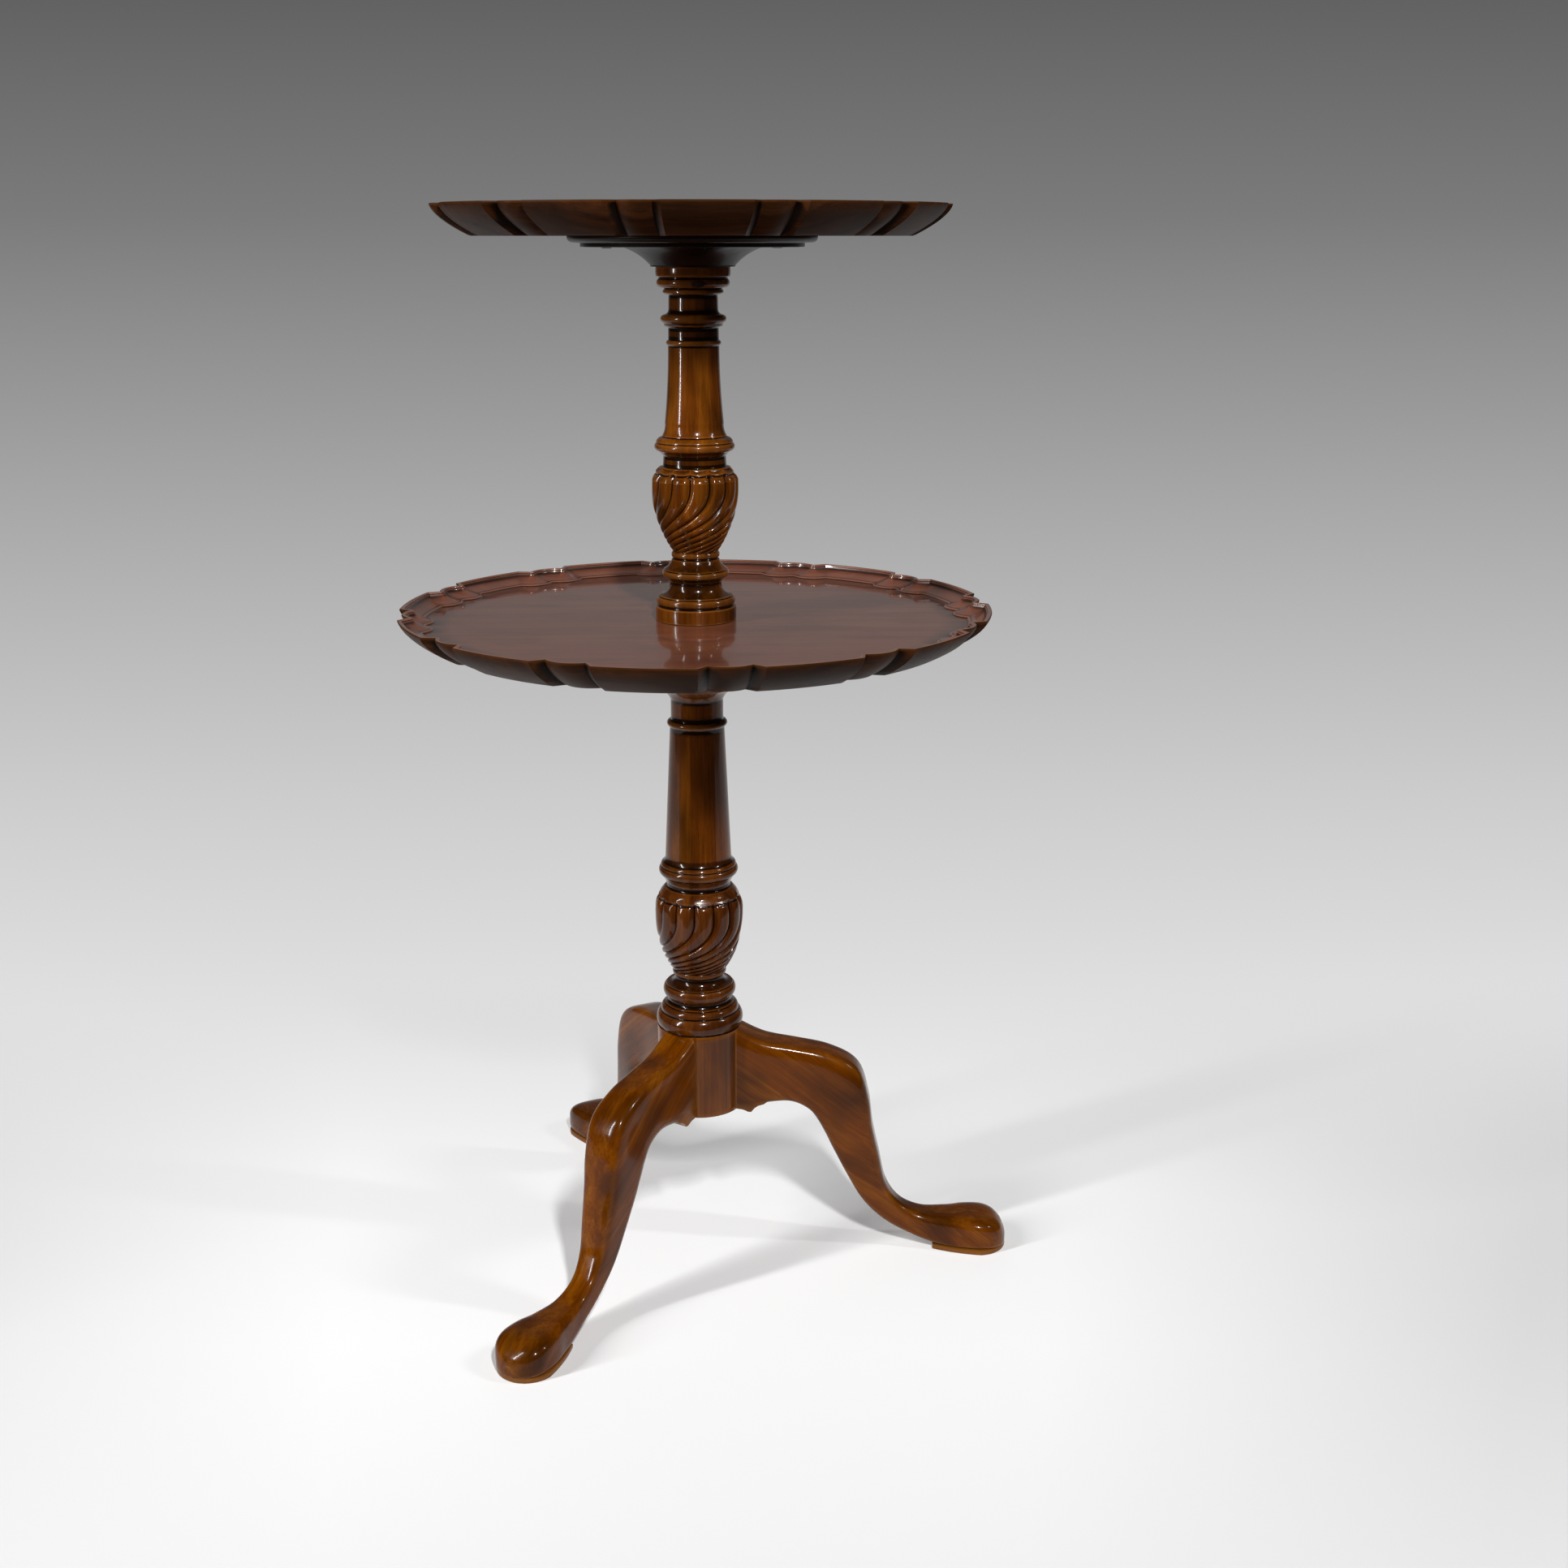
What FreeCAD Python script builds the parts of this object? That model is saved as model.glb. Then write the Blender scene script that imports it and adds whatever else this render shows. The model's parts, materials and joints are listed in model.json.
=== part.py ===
"""A two-tier revolving table: three cabriole legs, a turned pillar in two lengths and two piecrust trays.

Millimetres. The floor is z = 0 and the front leg points along -Y. The pieces are made round the pillar's axis
as Z, and written out with the middle of the whole table's footprint over the origin.
"""
import FreeCAD, Part
import math
import os
import Sketcher

# Driving sizes: heights are taken from the floor and radii from the pillar's axis
SIZES = {
    "overrun": 2,
    "glue_gap": 0.05,
    "running_gap": 0.08,
    "turn_gap": 0.3,
    "block_bottom": 136,
    "block_height": 76,
    "block_radius": 38,
    "flat_distance": 33,
    "lower_turning_length": 330,
    "lower_urn_radius": 39.3,
    "lower_groove_depth": 2.6,
    "upper_turning_length": 298,
    "upper_urn_radius": 37.3,
    "upper_groove_depth": 2.4,
    "tenon_radius": 14,
    "tenon_grip": 45,
    "spindle_radius": 11,
    "spindle_grip": 46,
    "spindle_groove_depth": 3,
    "peg_drop": 13.7,
    "peg_width": 12,
    "peg_height": 6,
    "peg_outer_radius": 31,
    "boss_height": 25,
    "boss_radius": 104,
    "boss_foot_radius": 35.4,
    "lower_tray_radius": 254,
    "upper_tray_radius": 215,
    "tray_thickness": 26,
    "dish_depth": 11,
    "rim_width": 21,
    "rim_step_height": 1.6,
    "rim_step_width": 3,
    "lip_width": 3.5,
    "rim_notch": 10,
    "bump_drop": 4,
    "edge_draw": 32,
    "leg_thickness": 37,
    "shoulder_drop": 1,
    "foot_reach": 244,
    "half_sole": 34.5,
    "foot_height": 31.5,
    "sole_thickness": 4.5,
    "beak_reach": 13,
    "beak_drop": 4.5,
    "dovetail_depth": 14,
    "dovetail_neck": 13,
    "dovetail_tip": 17,
    "dovetail_height": 66,
    "screw_circle_radius": 72,
    "screw_head_depth": 10,
    "screw_length": 21,
    "screw_radius": 2.2,
    "screw_head_radius": 4.2,
    "screw_head_height": 2.6,
    "screw_point_height": 5,
}

# Heights of the stack, each worked out from the piece below it
BLOCK_TOP = "(Sizes.block_bottom + Sizes.block_height)"
LOWER_COLUMN_TOP = f"({BLOCK_TOP} + Sizes.lower_turning_length)"
LOWER_TRAY_BOTTOM = f"({LOWER_COLUMN_TOP} + Sizes.boss_height)"
LOWER_TRAY_FLOOR = f"({LOWER_TRAY_BOTTOM} + Sizes.tray_thickness - Sizes.dish_depth)"
UPPER_COLUMN_FOOT = f"({LOWER_TRAY_FLOOR} + Sizes.turn_gap)"
UPPER_COLUMN_TOP = f"({UPPER_COLUMN_FOOT} + Sizes.upper_turning_length)"
UPPER_TRAY_BOTTOM = f"({UPPER_COLUMN_TOP} + Sizes.boss_height)"
TENON_END = f"({LOWER_COLUMN_TOP} - Sizes.tenon_grip)"
SPINDLE_END = f"({UPPER_COLUMN_TOP} - Sizes.spindle_grip)"
PEG_LEVEL = f"({UPPER_COLUMN_TOP} - Sizes.peg_drop)"

# Turned outlines from the foot up: height along the turning, radius against the urn's largest,
# and bulge, the rise of the curve that arrives there against its chord (hollow if negative)
LOWER_FOOT_SHARES = [
    (0.000, 0.930, 0.00), (0.042, 0.915, 0.18),
    (0.044, 0.882, 0.00), (0.047, 0.882, 0.00), (0.061, 0.804, 0.15),
    (0.062, 0.775, 0.00), (0.066, 0.772, 0.00), (0.074, 0.743, -0.10), (0.077, 0.768, 0.00),
    (0.079, 0.775, 0.00), (0.115, 0.778, 0.23), (0.117, 0.753, 0.00), (0.122, 0.748, 0.00),
    (0.141, 0.595, -0.20), (0.145, 0.590, 0.00), (0.158, 0.600, 0.25),
]
LOWER_URN_SHARES = (0.158, 0.331)
LOWER_HEAD_SHARES = [
    (0.331, 1.000, 0.00), (0.385, 0.820, 0.06), (0.387, 0.758, 0.00), (0.400, 0.743, 0.00),
    (0.402, 0.784, 0.00), (0.407, 0.794, 0.00), (0.460, 0.794, 0.22), (0.463, 0.768, 0.00),
    (0.471, 0.758, 0.00), (0.485, 0.746, -0.05), (0.824, 0.618, 0.00),
    (0.827, 0.631, 0.00), (0.857, 0.621, 0.20), (0.859, 0.590, 0.00), (0.908, 0.590, 0.00),
    (0.940, 0.830, -0.08), (0.943, 0.840, 0.00), (0.966, 0.840, 0.20),
    (0.969, 0.824, 0.00), (0.972, 0.855, 0.00), (0.975, 0.870, 0.00), (1.000, 0.870, 0.04),
]
UPPER_FOOT_SHARES = [
    (0.000, 0.928, 0.00), (0.029, 0.928, 0.02), (0.033, 0.890, 0.00),
    (0.035, 0.901, 0.00), (0.068, 0.895, 0.18), (0.071, 0.869, 0.00), (0.075, 0.869, 0.00),
    (0.094, 0.611, -0.20), (0.104, 0.606, 0.00), (0.107, 0.681, 0.00), (0.114, 0.692, 0.00),
    (0.115, 0.702, 0.00), (0.150, 0.708, 0.32), (0.154, 0.676, 0.00),
    (0.175, 0.542, -0.18), (0.180, 0.515, 0.00), (0.198, 0.525, 0.25),
]
UPPER_URN_SHARES = (0.198, 0.405)
UPPER_HEAD_SHARES = [
    (0.405, 0.992, 0.00), (0.441, 0.815, 0.08), (0.443, 0.756, 0.00), (0.469, 0.745, 0.00),
    (0.472, 0.831, 0.00), (0.477, 0.836, 0.00), (0.519, 0.842, 0.32), (0.522, 0.777, 0.00),
    (0.531, 0.756, 0.00), (0.566, 0.670, -0.08), (0.782, 0.580, -0.013),
    (0.784, 0.600, 0.00), (0.796, 0.600, 0.22), (0.798, 0.571, 0.00), (0.832, 0.571, 0.00),
    (0.836, 0.655, -0.10), (0.844, 0.668, 0.00), (0.846, 0.690, 0.00), (0.867, 0.690, 0.32),
    (0.869, 0.640, 0.00), (0.880, 0.560, -0.15), (0.923, 0.553, 0.00), (0.925, 0.655, 0.00),
    (0.938, 0.655, 0.30), (0.940, 0.640, 0.00), (0.943, 0.762, 0.00), (0.968, 0.775, 0.27),
    (0.970, 0.772, 0.00), (0.972, 0.812, 0.00), (0.974, 0.834, 0.00), (1.000, 0.834, 0.04),
]
# Urn under the carving: how far the core stays inside the crests, and its bulge
CORE_SHARE = 0.10
CORE_BULGE_SHARE = 0.07
# Carved urns from the top down: depth in the carved stretch, and crest radius
LOWER_CREST_SHARES = [
    (0.00, 0.985), (0.17, 0.990), (0.34, 0.962), (0.50, 0.918), (0.62, 0.876),
    (0.74, 0.812), (0.84, 0.740), (0.92, 0.672), (1.00, 0.588),
]
UPPER_CREST_SHARES = [
    (0.00, 0.980), (0.17, 0.992), (0.34, 0.966), (0.50, 0.905), (0.62, 0.838),
    (0.74, 0.757), (0.84, 0.676), (0.92, 0.600), (1.00, 0.515),
]
LOBES = 13
LOBE_TWIST = 172
TWIST_POWER = 2.7
# Sections of the carved loft, close enough that each lobe turns less than half its width between them
URN_STEPS = 26
STEP_POWER = 0.62
# The carved loft runs this share of its length into the turnings above and below it
CARVED_OVERLAP_SHARE = 0.02

# Bearer under a tray, from its foot up: height, radius against the flange's, bulge
BOSS_SHARES = [
    (0.63, 0.846, -0.148), (0.645, 0.896, 0.00), (0.77, 0.896, 0.00),
    (0.79, 0.966, 0.00), (1.00, 1.00, 0.20),
]
BOSS_FOOT_SHARE = 0.04

# Piecrust rim: repeats of one long arc and one short bump, the angle of a bump and of the short
# return from a long arc's corner to the notch, and the turn of each tray at rest
RIM_REPEATS = 12
BUMP_ANGLE = 8
RETURN_ANGLE = 1.8
LOWER_TRAY_TURN = 10.5
UPPER_TRAY_TURN = 22.5
# Outer edge of a tray from the underside up: height, and how much of the draw is left there
EDGE_SHARES = [(0.0, 1.0), (0.3, 0.55), (0.65, 0.19), (1.0, 0.0)]
# Cove of the rim from the dish up: height, and how much of the cove's width is left there
COVE_SHARES = [(0.0, 1.0), (0.22, 0.55), (0.55, 0.22), (1.0, 0.0)]

# Leg from the shoulder to the ankle: reach, height, lean in degrees, depth, width, squareness
LIMB_SHARES = [
    (0.111, 0.800, 2, 0.790, 0.984, 6.5),
    (0.242, 0.792, 6, 0.697, 0.946, 6.0),
    (0.355, 0.759, 20, 0.750, 0.980, 5.4),
    (0.436, 0.696, 34, 0.816, 1.020, 4.8),
    (0.474, 0.604, 49, 0.684, 1.020, 4.2),
    (0.500, 0.500, 60, 0.547, 0.960, 3.8),
    (0.543, 0.373, 64, 0.447, 0.840, 3.5),
    (0.592, 0.250, 58, 0.347, 0.714, 3.2),
    (0.668, 0.160, 47, 0.295, 0.638, 3.0),
    (0.777, 0.104, 22, 0.303, 0.740, 2.9),
]
SHOULDER_SQUARENESS = 7
# Slipper foot from the heel to the toe: place along the sole from its middle, height, width, squareness
FOOT_SHARES = [
    (-0.609, 1.000, 0.540, 2.9),
    (-0.100, 1.010, 0.680, 3.0),
    (0.350, 0.990, 0.725, 3.0),
    (0.650, 0.900, 0.655, 2.8),
    (0.860, 0.720, 0.470, 2.6),
    (0.955, 0.540, 0.280, 2.4),
    (0.990, 0.420, 0.140, 2.2),
]
# Plan of the sole: place along it from its middle, half its width there, bulge
SOLE_SHARES = [(-0.93, -0.42, 0.00), (0.35, -0.745, 0.04), (0.35, 0.745, 0.436), (-0.93, 0.42, 0.04)]
SECTION_POINTS = 24
BEAK_WIDTH_SHARE = 0.86
BEAK_HOLLOW_SHARE = -0.1
BOSS_SCREWS = 4
LEG_ANGLES = {"front_leg": 270, "right_leg": 30, "left_leg": 150}
PEG_ANGLE = 312
# Rise of the peg's rounded ends against its height
PEG_END_SHARE = 0.42

UP = FreeCAD.Vector(0, 0, 1)
ORIGIN = FreeCAD.Vector(0, 0, 0)

doc = FreeCAD.newDocument("tiered_table")
sheet = doc.addObject("Spreadsheet::Sheet", "Sizes")
for row, (alias, amount) in enumerate(SIZES.items(), start=1):
    sheet.set(f"A{row}", alias)
    sheet.set(f"B{row}", str(amount))
    sheet.setAlias(f"B{row}", alias)
doc.recompute()


def value(expression):
    """The number that an expression over the sheet gives."""
    return float(sheet.evalExpression(expression))


def size(alias):
    return value(f"Sizes.{alias}")


def polar(radius, degrees, height=0.0):
    angle = math.radians(degrees)
    return FreeCAD.Vector(radius * math.cos(angle), radius * math.sin(angle), height)


def turned_about_axis(degrees):
    return FreeCAD.Placement(ORIGIN, FreeCAD.Rotation(UP, degrees))


def new_feature(name, shape, placement=None):
    """A plain feature for a shape that lofts make."""
    feature = doc.addObject("Part::Feature", name)
    feature.Shape = shape
    if placement is not None:
        feature.Placement = placement
    return feature


def new_sketch(body, name, role):
    """A sketch on one of the body's own origin planes."""
    sketch = body.newObject("Sketcher::SketchObject", name)
    plane = next(item for item in body.Origin.OriginFeatures if item.Role == role)
    sketch.AttachmentSupport = [(plane, "")]
    sketch.MapMode = "FlatFace"
    return sketch


def arc_between(start, end, bulge):
    """An arc of a circle on its chord, and whether it runs from end to start."""
    chord = end - start
    outward = FreeCAD.Vector(chord.y, -chord.x, 0)
    crown = (start + end) * 0.5 + outward * bulge
    through = Part.Circle(start, crown, end)
    flat = Part.Circle(through.Center, UP, through.Radius)
    backwards = bulge < 0
    first, last = (end, start) if backwards else (start, end)
    return Part.ArcOfCircle(flat, flat.parameter(first), flat.parameter(last)), backwards


def hold(sketch, axis, geometry, vertex, expression):
    """Tie one coordinate of a vertex to an expression, measured from the sketch's origin."""
    amount = value(expression)
    if amount == 0:
        sketch_axis = -2 if axis == "X" else -1
        sketch.addConstraint(Sketcher.Constraint("PointOnObject", geometry, vertex, sketch_axis))
        return
    if amount > 0:
        tie = Sketcher.Constraint(f"Distance{axis}", -1, 1, geometry, vertex, amount)
        bound = expression
    else:
        tie = Sketcher.Constraint(f"Distance{axis}", geometry, vertex, -1, 1, -amount)
        bound = f"-({expression})"
    index = sketch.addConstraint(tie)
    sketch.setExpression(f"Constraints[{index}]", bound)


def draw_outline(sketch, rows):
    """A closed outline through rows of x, y and the bulge of the curve that arrives there."""
    points = [FreeCAD.Vector(value(x), value(y), 0) for x, y, bulge in rows]
    ends = []
    for index, start in enumerate(points):
        following = (index + 1) % len(points)
        end = points[following]
        bulge = rows[following][2]
        if bulge == 0:
            sketch.addGeometry(Part.LineSegment(start, end))
            ends.append((1, 2))
        else:
            arc, backwards = arc_between(start, end, bulge)
            sketch.addGeometry(arc)
            ends.append((2, 1) if backwards else (1, 2))
    for index, (x, y, bulge) in enumerate(rows):
        before = index - 1 if index else len(rows) - 1
        arriving, leaving = ends[before][1], ends[index][0]
        sketch.addConstraint(Sketcher.Constraint("Coincident", before, arriving, index, leaving))
        hold(sketch, "X", index, leaving, x)
        hold(sketch, "Y", index, leaving, y)
        if bulge != 0:
            x_before, y_before, _ = rows[before]
            chord = f"sqrt((({x}) - ({x_before}))^2 + (({y}) - ({y_before}))^2)"
            radius = f"{chord} * {(1 + 4 * bulge ** 2) / (8 * abs(bulge))}"
            tie = sketch.addConstraint(Sketcher.Constraint("Radius", before, value(radius)))
            sketch.setExpression(f"Constraints[{tie}]", radius)


def turned_body(name, rows):
    """A body turned about Z from rows of radius, height and bulge."""
    body = doc.addObject("PartDesign::Body", name)
    sketch = new_sketch(body, f"{name}_outline", "XZ_Plane")
    draw_outline(sketch, rows)
    turning = body.newObject("PartDesign::Revolution", f"{name}_turning")
    turning.Profile = sketch
    turning.ReferenceAxis = (sketch, ["V_Axis"])
    turning.Angle = 360
    doc.recompute()
    return body


def turning_rows(shares, foot, length, radius):
    """Rows of a turned stretch, from shares of its length and of its urn's radius."""
    rows = []
    for height, width, bulge in shares:
        rows.append((f"Sizes.{radius} * {width}", f"{foot} + Sizes.{length} * {height}", bulge))
    return rows


def core_rows(urn, foot_width, head_width, foot, length, radius):
    """The urn's core, set inside the crests of its carving."""
    inner_foot = (urn[0], foot_width - CORE_SHARE, 0.0)
    inner_head = (urn[1], head_width - CORE_SHARE, CORE_BULGE_SHARE)
    return turning_rows([inner_foot, inner_head], foot, length, radius)


def lobed_wire(radius, groove, height, turn):
    """A section of a writhen urn: convex lobes that meet in sharp grooves."""
    pitch = 360 / LOBES
    arcs = []
    for lobe in range(LOBES):
        start = turn + lobe * pitch
        first = polar(radius - groove, start, height)
        crest = polar(radius, start + pitch / 2, height)
        last = polar(radius - groove, start + pitch, height)
        arcs.append(Part.Arc(first, crest, last).toShape())
    return Part.Wire(arcs)


def crest_curve(crests):
    """A smooth run of the crests' radii, read by depth in the carved stretch."""
    curve = Part.BSplineCurve()
    points = [FreeCAD.Vector(depth, width, 0) for depth, width in crests]
    curve.interpolate(Points=points, Parameters=[depth for depth, width in crests])
    return curve


def writhen_urn(name, crests, urn, foot, length, radius, groove):
    """Carved lobes that start upright below the shoulder and wind faster towards the foot."""
    low = value(foot) + size(length) * urn[0]
    high = value(foot) + size(length) * urn[1]
    overlap = (high - low) * CARVED_OVERLAP_SHARE
    top, depth = high + overlap, high - low + 2 * overlap
    profile = crest_curve(crests)
    sections = []
    for step in range(URN_STEPS + 1):
        share = (step / URN_STEPS) ** STEP_POWER
        width = profile.value(share).y
        turn = -LOBE_TWIST * share ** TWIST_POWER
        sections.append(lobed_wire(size(radius) * width, size(groove) * width, top - depth * share, turn))
    return new_feature(name, Part.makeLoft(sections, True, False))


def fused(name, *pieces):
    joined = doc.addObject("Part::MultiFuse", name)
    joined.Shapes = list(pieces)
    joined.Refine = False
    return joined


def cut(name, base, tool):
    trimmed = doc.addObject("Part::Cut", name)
    trimmed.Base = base
    trimmed.Tool = tool
    trimmed.Refine = False
    return trimmed


def prism(name, role, outline, level, length, symmetric=False):
    """A body padded from an outline of expressions, off one of its origin planes."""
    body = doc.addObject("PartDesign::Body", name)
    sketch = new_sketch(body, f"{name}_outline", role)
    sketch.setExpression("AttachmentOffset.Base.z", level)
    draw_outline(sketch, outline)
    pad = body.newObject("PartDesign::Pad", f"{name}_pad")
    pad.Profile = sketch
    pad.Midplane = symmetric
    pad.setExpression("Length", length)
    doc.recompute()
    return body


def dovetail_outline(gap):
    """Plan of a dovetail that widens towards the pillar's axis."""
    neck = f"(Sizes.dovetail_neck / 2 + {gap})"
    tip = f"(Sizes.dovetail_tip / 2 + {gap})"
    mouth = "Sizes.flat_distance + Sizes.overrun"
    shoulder = "Sizes.flat_distance"
    end = f"Sizes.flat_distance - Sizes.dovetail_depth - {gap}"
    return [
        (mouth, f"-{neck}", 0), (mouth, neck, 0), (shoulder, neck, 0),
        (end, tip, 0), (end, f"-{tip}", 0), (shoulder, f"-{neck}", 0),
    ]


def pillar_pocket(body, name, outline, depth):
    """A cut from the block's lower end upwards, at the front leg's place."""
    sketch = new_sketch(body, name, "XY_Plane")
    sketch.AttachmentOffset = turned_about_axis(LEG_ANGLES["front_leg"])
    sketch.setExpression("AttachmentOffset.Base.z", "Sizes.block_bottom")
    draw_outline(sketch, outline)
    pocket = body.newObject("PartDesign::Pocket", f"{name}_pocket")
    pocket.Profile = sketch
    pocket.Reversed = True
    pocket.setExpression("Length", depth)
    doc.recompute()
    return sketch, pocket


def make_lower_column():
    """The lower pillar: leg block with flats and sockets, writhen urn, shaft and collar."""
    place = (BLOCK_TOP, "lower_turning_length", "lower_urn_radius")
    bore = "Sizes.tenon_radius + Sizes.glue_gap"
    rows = [("0", "Sizes.block_bottom", 0), ("Sizes.block_radius", "Sizes.block_bottom", 0)]
    rows.append(("Sizes.block_radius", BLOCK_TOP, 0))
    rows += turning_rows(LOWER_FOOT_SHARES, *place)
    rows += core_rows(LOWER_URN_SHARES, LOWER_FOOT_SHARES[-1][1], LOWER_HEAD_SHARES[0][1], *place)
    rows += turning_rows(LOWER_HEAD_SHARES, *place)
    rows += [(bore, LOWER_COLUMN_TOP, 0), (bore, TENON_END, 0), ("0", TENON_END, 0)]
    body = turned_body("lower_pillar", rows)
    beyond = "Sizes.block_radius + Sizes.overrun"
    flat = [
        ("Sizes.flat_distance", "-Sizes.block_radius", 0), (beyond, "-Sizes.block_radius", 0),
        (beyond, "Sizes.block_radius", 0), ("Sizes.flat_distance", "Sizes.block_radius", 0),
    ]
    whole = body.Shape.Volume
    sketch, flats = pillar_pocket(body, "leg_flat", flat, "Sizes.block_height")
    socket_height = "Sizes.dovetail_height + Sizes.glue_gap"
    _, sockets = pillar_pocket(body, "leg_socket", dovetail_outline("Sizes.glue_gap"), socket_height)
    pattern = body.newObject("PartDesign::PolarPattern", "leg_places")
    pattern.Originals = [flats, sockets]
    pattern.Axis = (sketch, ["N_Axis"])
    pattern.Angle = 360
    pattern.Occurrences = len(LEG_ANGLES)
    body.Tip = pattern
    doc.recompute()
    if body.Shape.Volume >= whole:
        raise RuntimeError("the leg sockets cut nothing")
    urn = writhen_urn("lower_urn", LOWER_CREST_SHARES, LOWER_URN_SHARES, *place, "lower_groove_depth")
    return fused("lower_column", body, urn)


def peg_outline(gap):
    """An oval, wider than it is high, centred on the peg's axis."""
    half_height = f"(Sizes.peg_height / 2 + {gap})"
    half_run = f"(Sizes.peg_width / 2 + {gap} - 2 * {half_height} * {PEG_END_SHARE})"
    return [
        (f"-{half_run}", f"-{half_height}", PEG_END_SHARE), (half_run, f"-{half_height}", 0),
        (half_run, half_height, PEG_END_SHARE), (f"-{half_run}", half_height, 0),
    ]


def peg_body(name, gap, start, end):
    """The peg, or its hole, lying along X and turned to its place."""
    body = prism(name, "YZ_Plane", peg_outline(gap), start, f"{end} - ({start})")
    body.Placement = turned_about_axis(PEG_ANGLE)
    body.setExpression("Placement.Base.z", PEG_LEVEL)
    return body


def make_upper_column():
    """The upper pillar: tenon, plinth, writhen urn, shaft, collar and the spindle's bore."""
    place = (UPPER_COLUMN_FOOT, "upper_turning_length", "upper_urn_radius")
    bore = "Sizes.spindle_radius + Sizes.running_gap"
    rows = [("0", TENON_END, 0), ("Sizes.tenon_radius", TENON_END, 0)]
    rows.append(("Sizes.tenon_radius", UPPER_COLUMN_FOOT, 0))
    rows += turning_rows(UPPER_FOOT_SHARES, *place)
    rows += core_rows(UPPER_URN_SHARES, UPPER_FOOT_SHARES[-1][1], UPPER_HEAD_SHARES[0][1], *place)
    rows += turning_rows(UPPER_HEAD_SHARES, *place)
    rows += [(bore, UPPER_COLUMN_TOP, 0), (bore, SPINDLE_END, 0), ("0", SPINDLE_END, 0)]
    body = turned_body("upper_pillar", rows)
    urn = writhen_urn("upper_urn", UPPER_CREST_SHARES, UPPER_URN_SHARES, *place, "upper_groove_depth")
    whole = fused("upper_pillar_carved", body, urn)
    reach = "Sizes.peg_outer_radius + Sizes.overrun"
    hole = peg_body("peg_hole", "Sizes.glue_gap", "Sizes.spindle_radius - Sizes.overrun", reach)
    return cut("upper_column", whole, hole)


def make_peg():
    """The oval peg, whose inner end rides in the spindle's groove."""
    start = "Sizes.spindle_radius - Sizes.spindle_groove_depth + Sizes.turn_gap"
    return peg_body("retaining_peg", "0", start, "Sizes.peg_outer_radius")


def make_spindle():
    """The pin of the upper tray, with the groove that the peg rides in."""
    neck = "Sizes.spindle_radius - Sizes.spindle_groove_depth"
    groove_low = f"{PEG_LEVEL} - Sizes.peg_height / 2 - Sizes.turn_gap"
    groove_high = f"{PEG_LEVEL} + Sizes.peg_height / 2 + Sizes.turn_gap"
    end = f"{SPINDLE_END} + Sizes.turn_gap"
    return turned_body("top_spindle", [
        ("0", end, 0), ("Sizes.spindle_radius", end, 0),
        ("Sizes.spindle_radius", groove_low, 0), (neck, groove_low, 0),
        (neck, groove_high, 0), ("Sizes.spindle_radius", groove_high, 0),
        ("Sizes.spindle_radius", UPPER_TRAY_BOTTOM, 0), ("0", UPPER_TRAY_BOTTOM, 0),
    ])


def screw_solid(level, gap):
    """One countersunk wood screw that points up, or its hole where a gap is given."""
    radius, head = size("screw_radius") + gap, size("screw_head_radius") + gap
    head_top = level + size("screw_head_height")
    point = level + size("screw_length") - size("screw_point_height")
    tip = level + size("screw_length") + gap
    below = level - (size("overrun") if gap else 0)
    outline = [
        FreeCAD.Vector(0, 0, below), FreeCAD.Vector(head, 0, below), FreeCAD.Vector(head, 0, level),
        FreeCAD.Vector(radius, 0, head_top), FreeCAD.Vector(radius, 0, point), FreeCAD.Vector(0, 0, tip),
    ]
    corners = [corner for index, corner in enumerate(outline) if corner != outline[index - 1]]
    face = Part.Face(Part.makePolygon(corners + corners[:1]))
    return face.revolve(ORIGIN, UP, 360)


def screw_group(name, tray_bottom, gap):
    """The screws that hold a bearer to its tray, heads in the bearer."""
    level = value(tray_bottom) - size("screw_head_depth")
    screws = []
    for index in range(BOSS_SCREWS):
        screw = screw_solid(level, gap)
        screw.translate(polar(size("screw_circle_radius"), 360 * (index + 0.5) / BOSS_SCREWS))
        screws.append(screw)
    return new_feature(name, Part.makeCompound(screws))


def make_boss(name, foot, bore, screw_holes):
    """The turned bearer that carries a tray."""
    top = f"{foot} + Sizes.boss_height"
    rows = [(bore, foot, 0), ("Sizes.boss_foot_radius", foot, 0)]
    rows.append(("Sizes.boss_foot_radius", f"{foot} + Sizes.boss_height * {BOSS_FOOT_SHARE}", 0))
    for height, width, bulge in BOSS_SHARES:
        rows.append((f"Sizes.boss_radius * {width}", f"{foot} + Sizes.boss_height * {height}", bulge))
    rows.append((bore, top, 0))
    return cut(name, turned_body(f"{name}_turned", rows), screw_holes)


def piecrust_wire(radius, inset, height, turn):
    """The rim's outline, drawn in from its full size: long arcs and short bumps with notches between."""
    full = size(radius)
    share = (full - inset) / full
    notch, bump = (full - size("rim_notch")) * share, (full - size("bump_drop")) * share
    pitch, half = 360 / RIM_REPEATS, BUMP_ANGLE / 2
    edges = []
    for repeat in range(RIM_REPEATS):
        middle = turn + repeat * pitch
        first, second, last = (polar(notch, middle + angle, height) for angle in (-half, half, pitch - half))
        bump_top = polar(bump, middle, height)
        start, arc_top, end = (
            polar(full * share, middle + angle, height)
            for angle in (half + RETURN_ANGLE, pitch / 2, pitch - half - RETURN_ANGLE)
        )
        edges.append(Part.Arc(first, bump_top, second).toShape())
        edges.append(Part.makeLine(second, start))
        edges.append(Part.Arc(start, arc_top, end).toShape())
        edges.append(Part.makeLine(end, last))
    return Part.Wire(edges)


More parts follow.
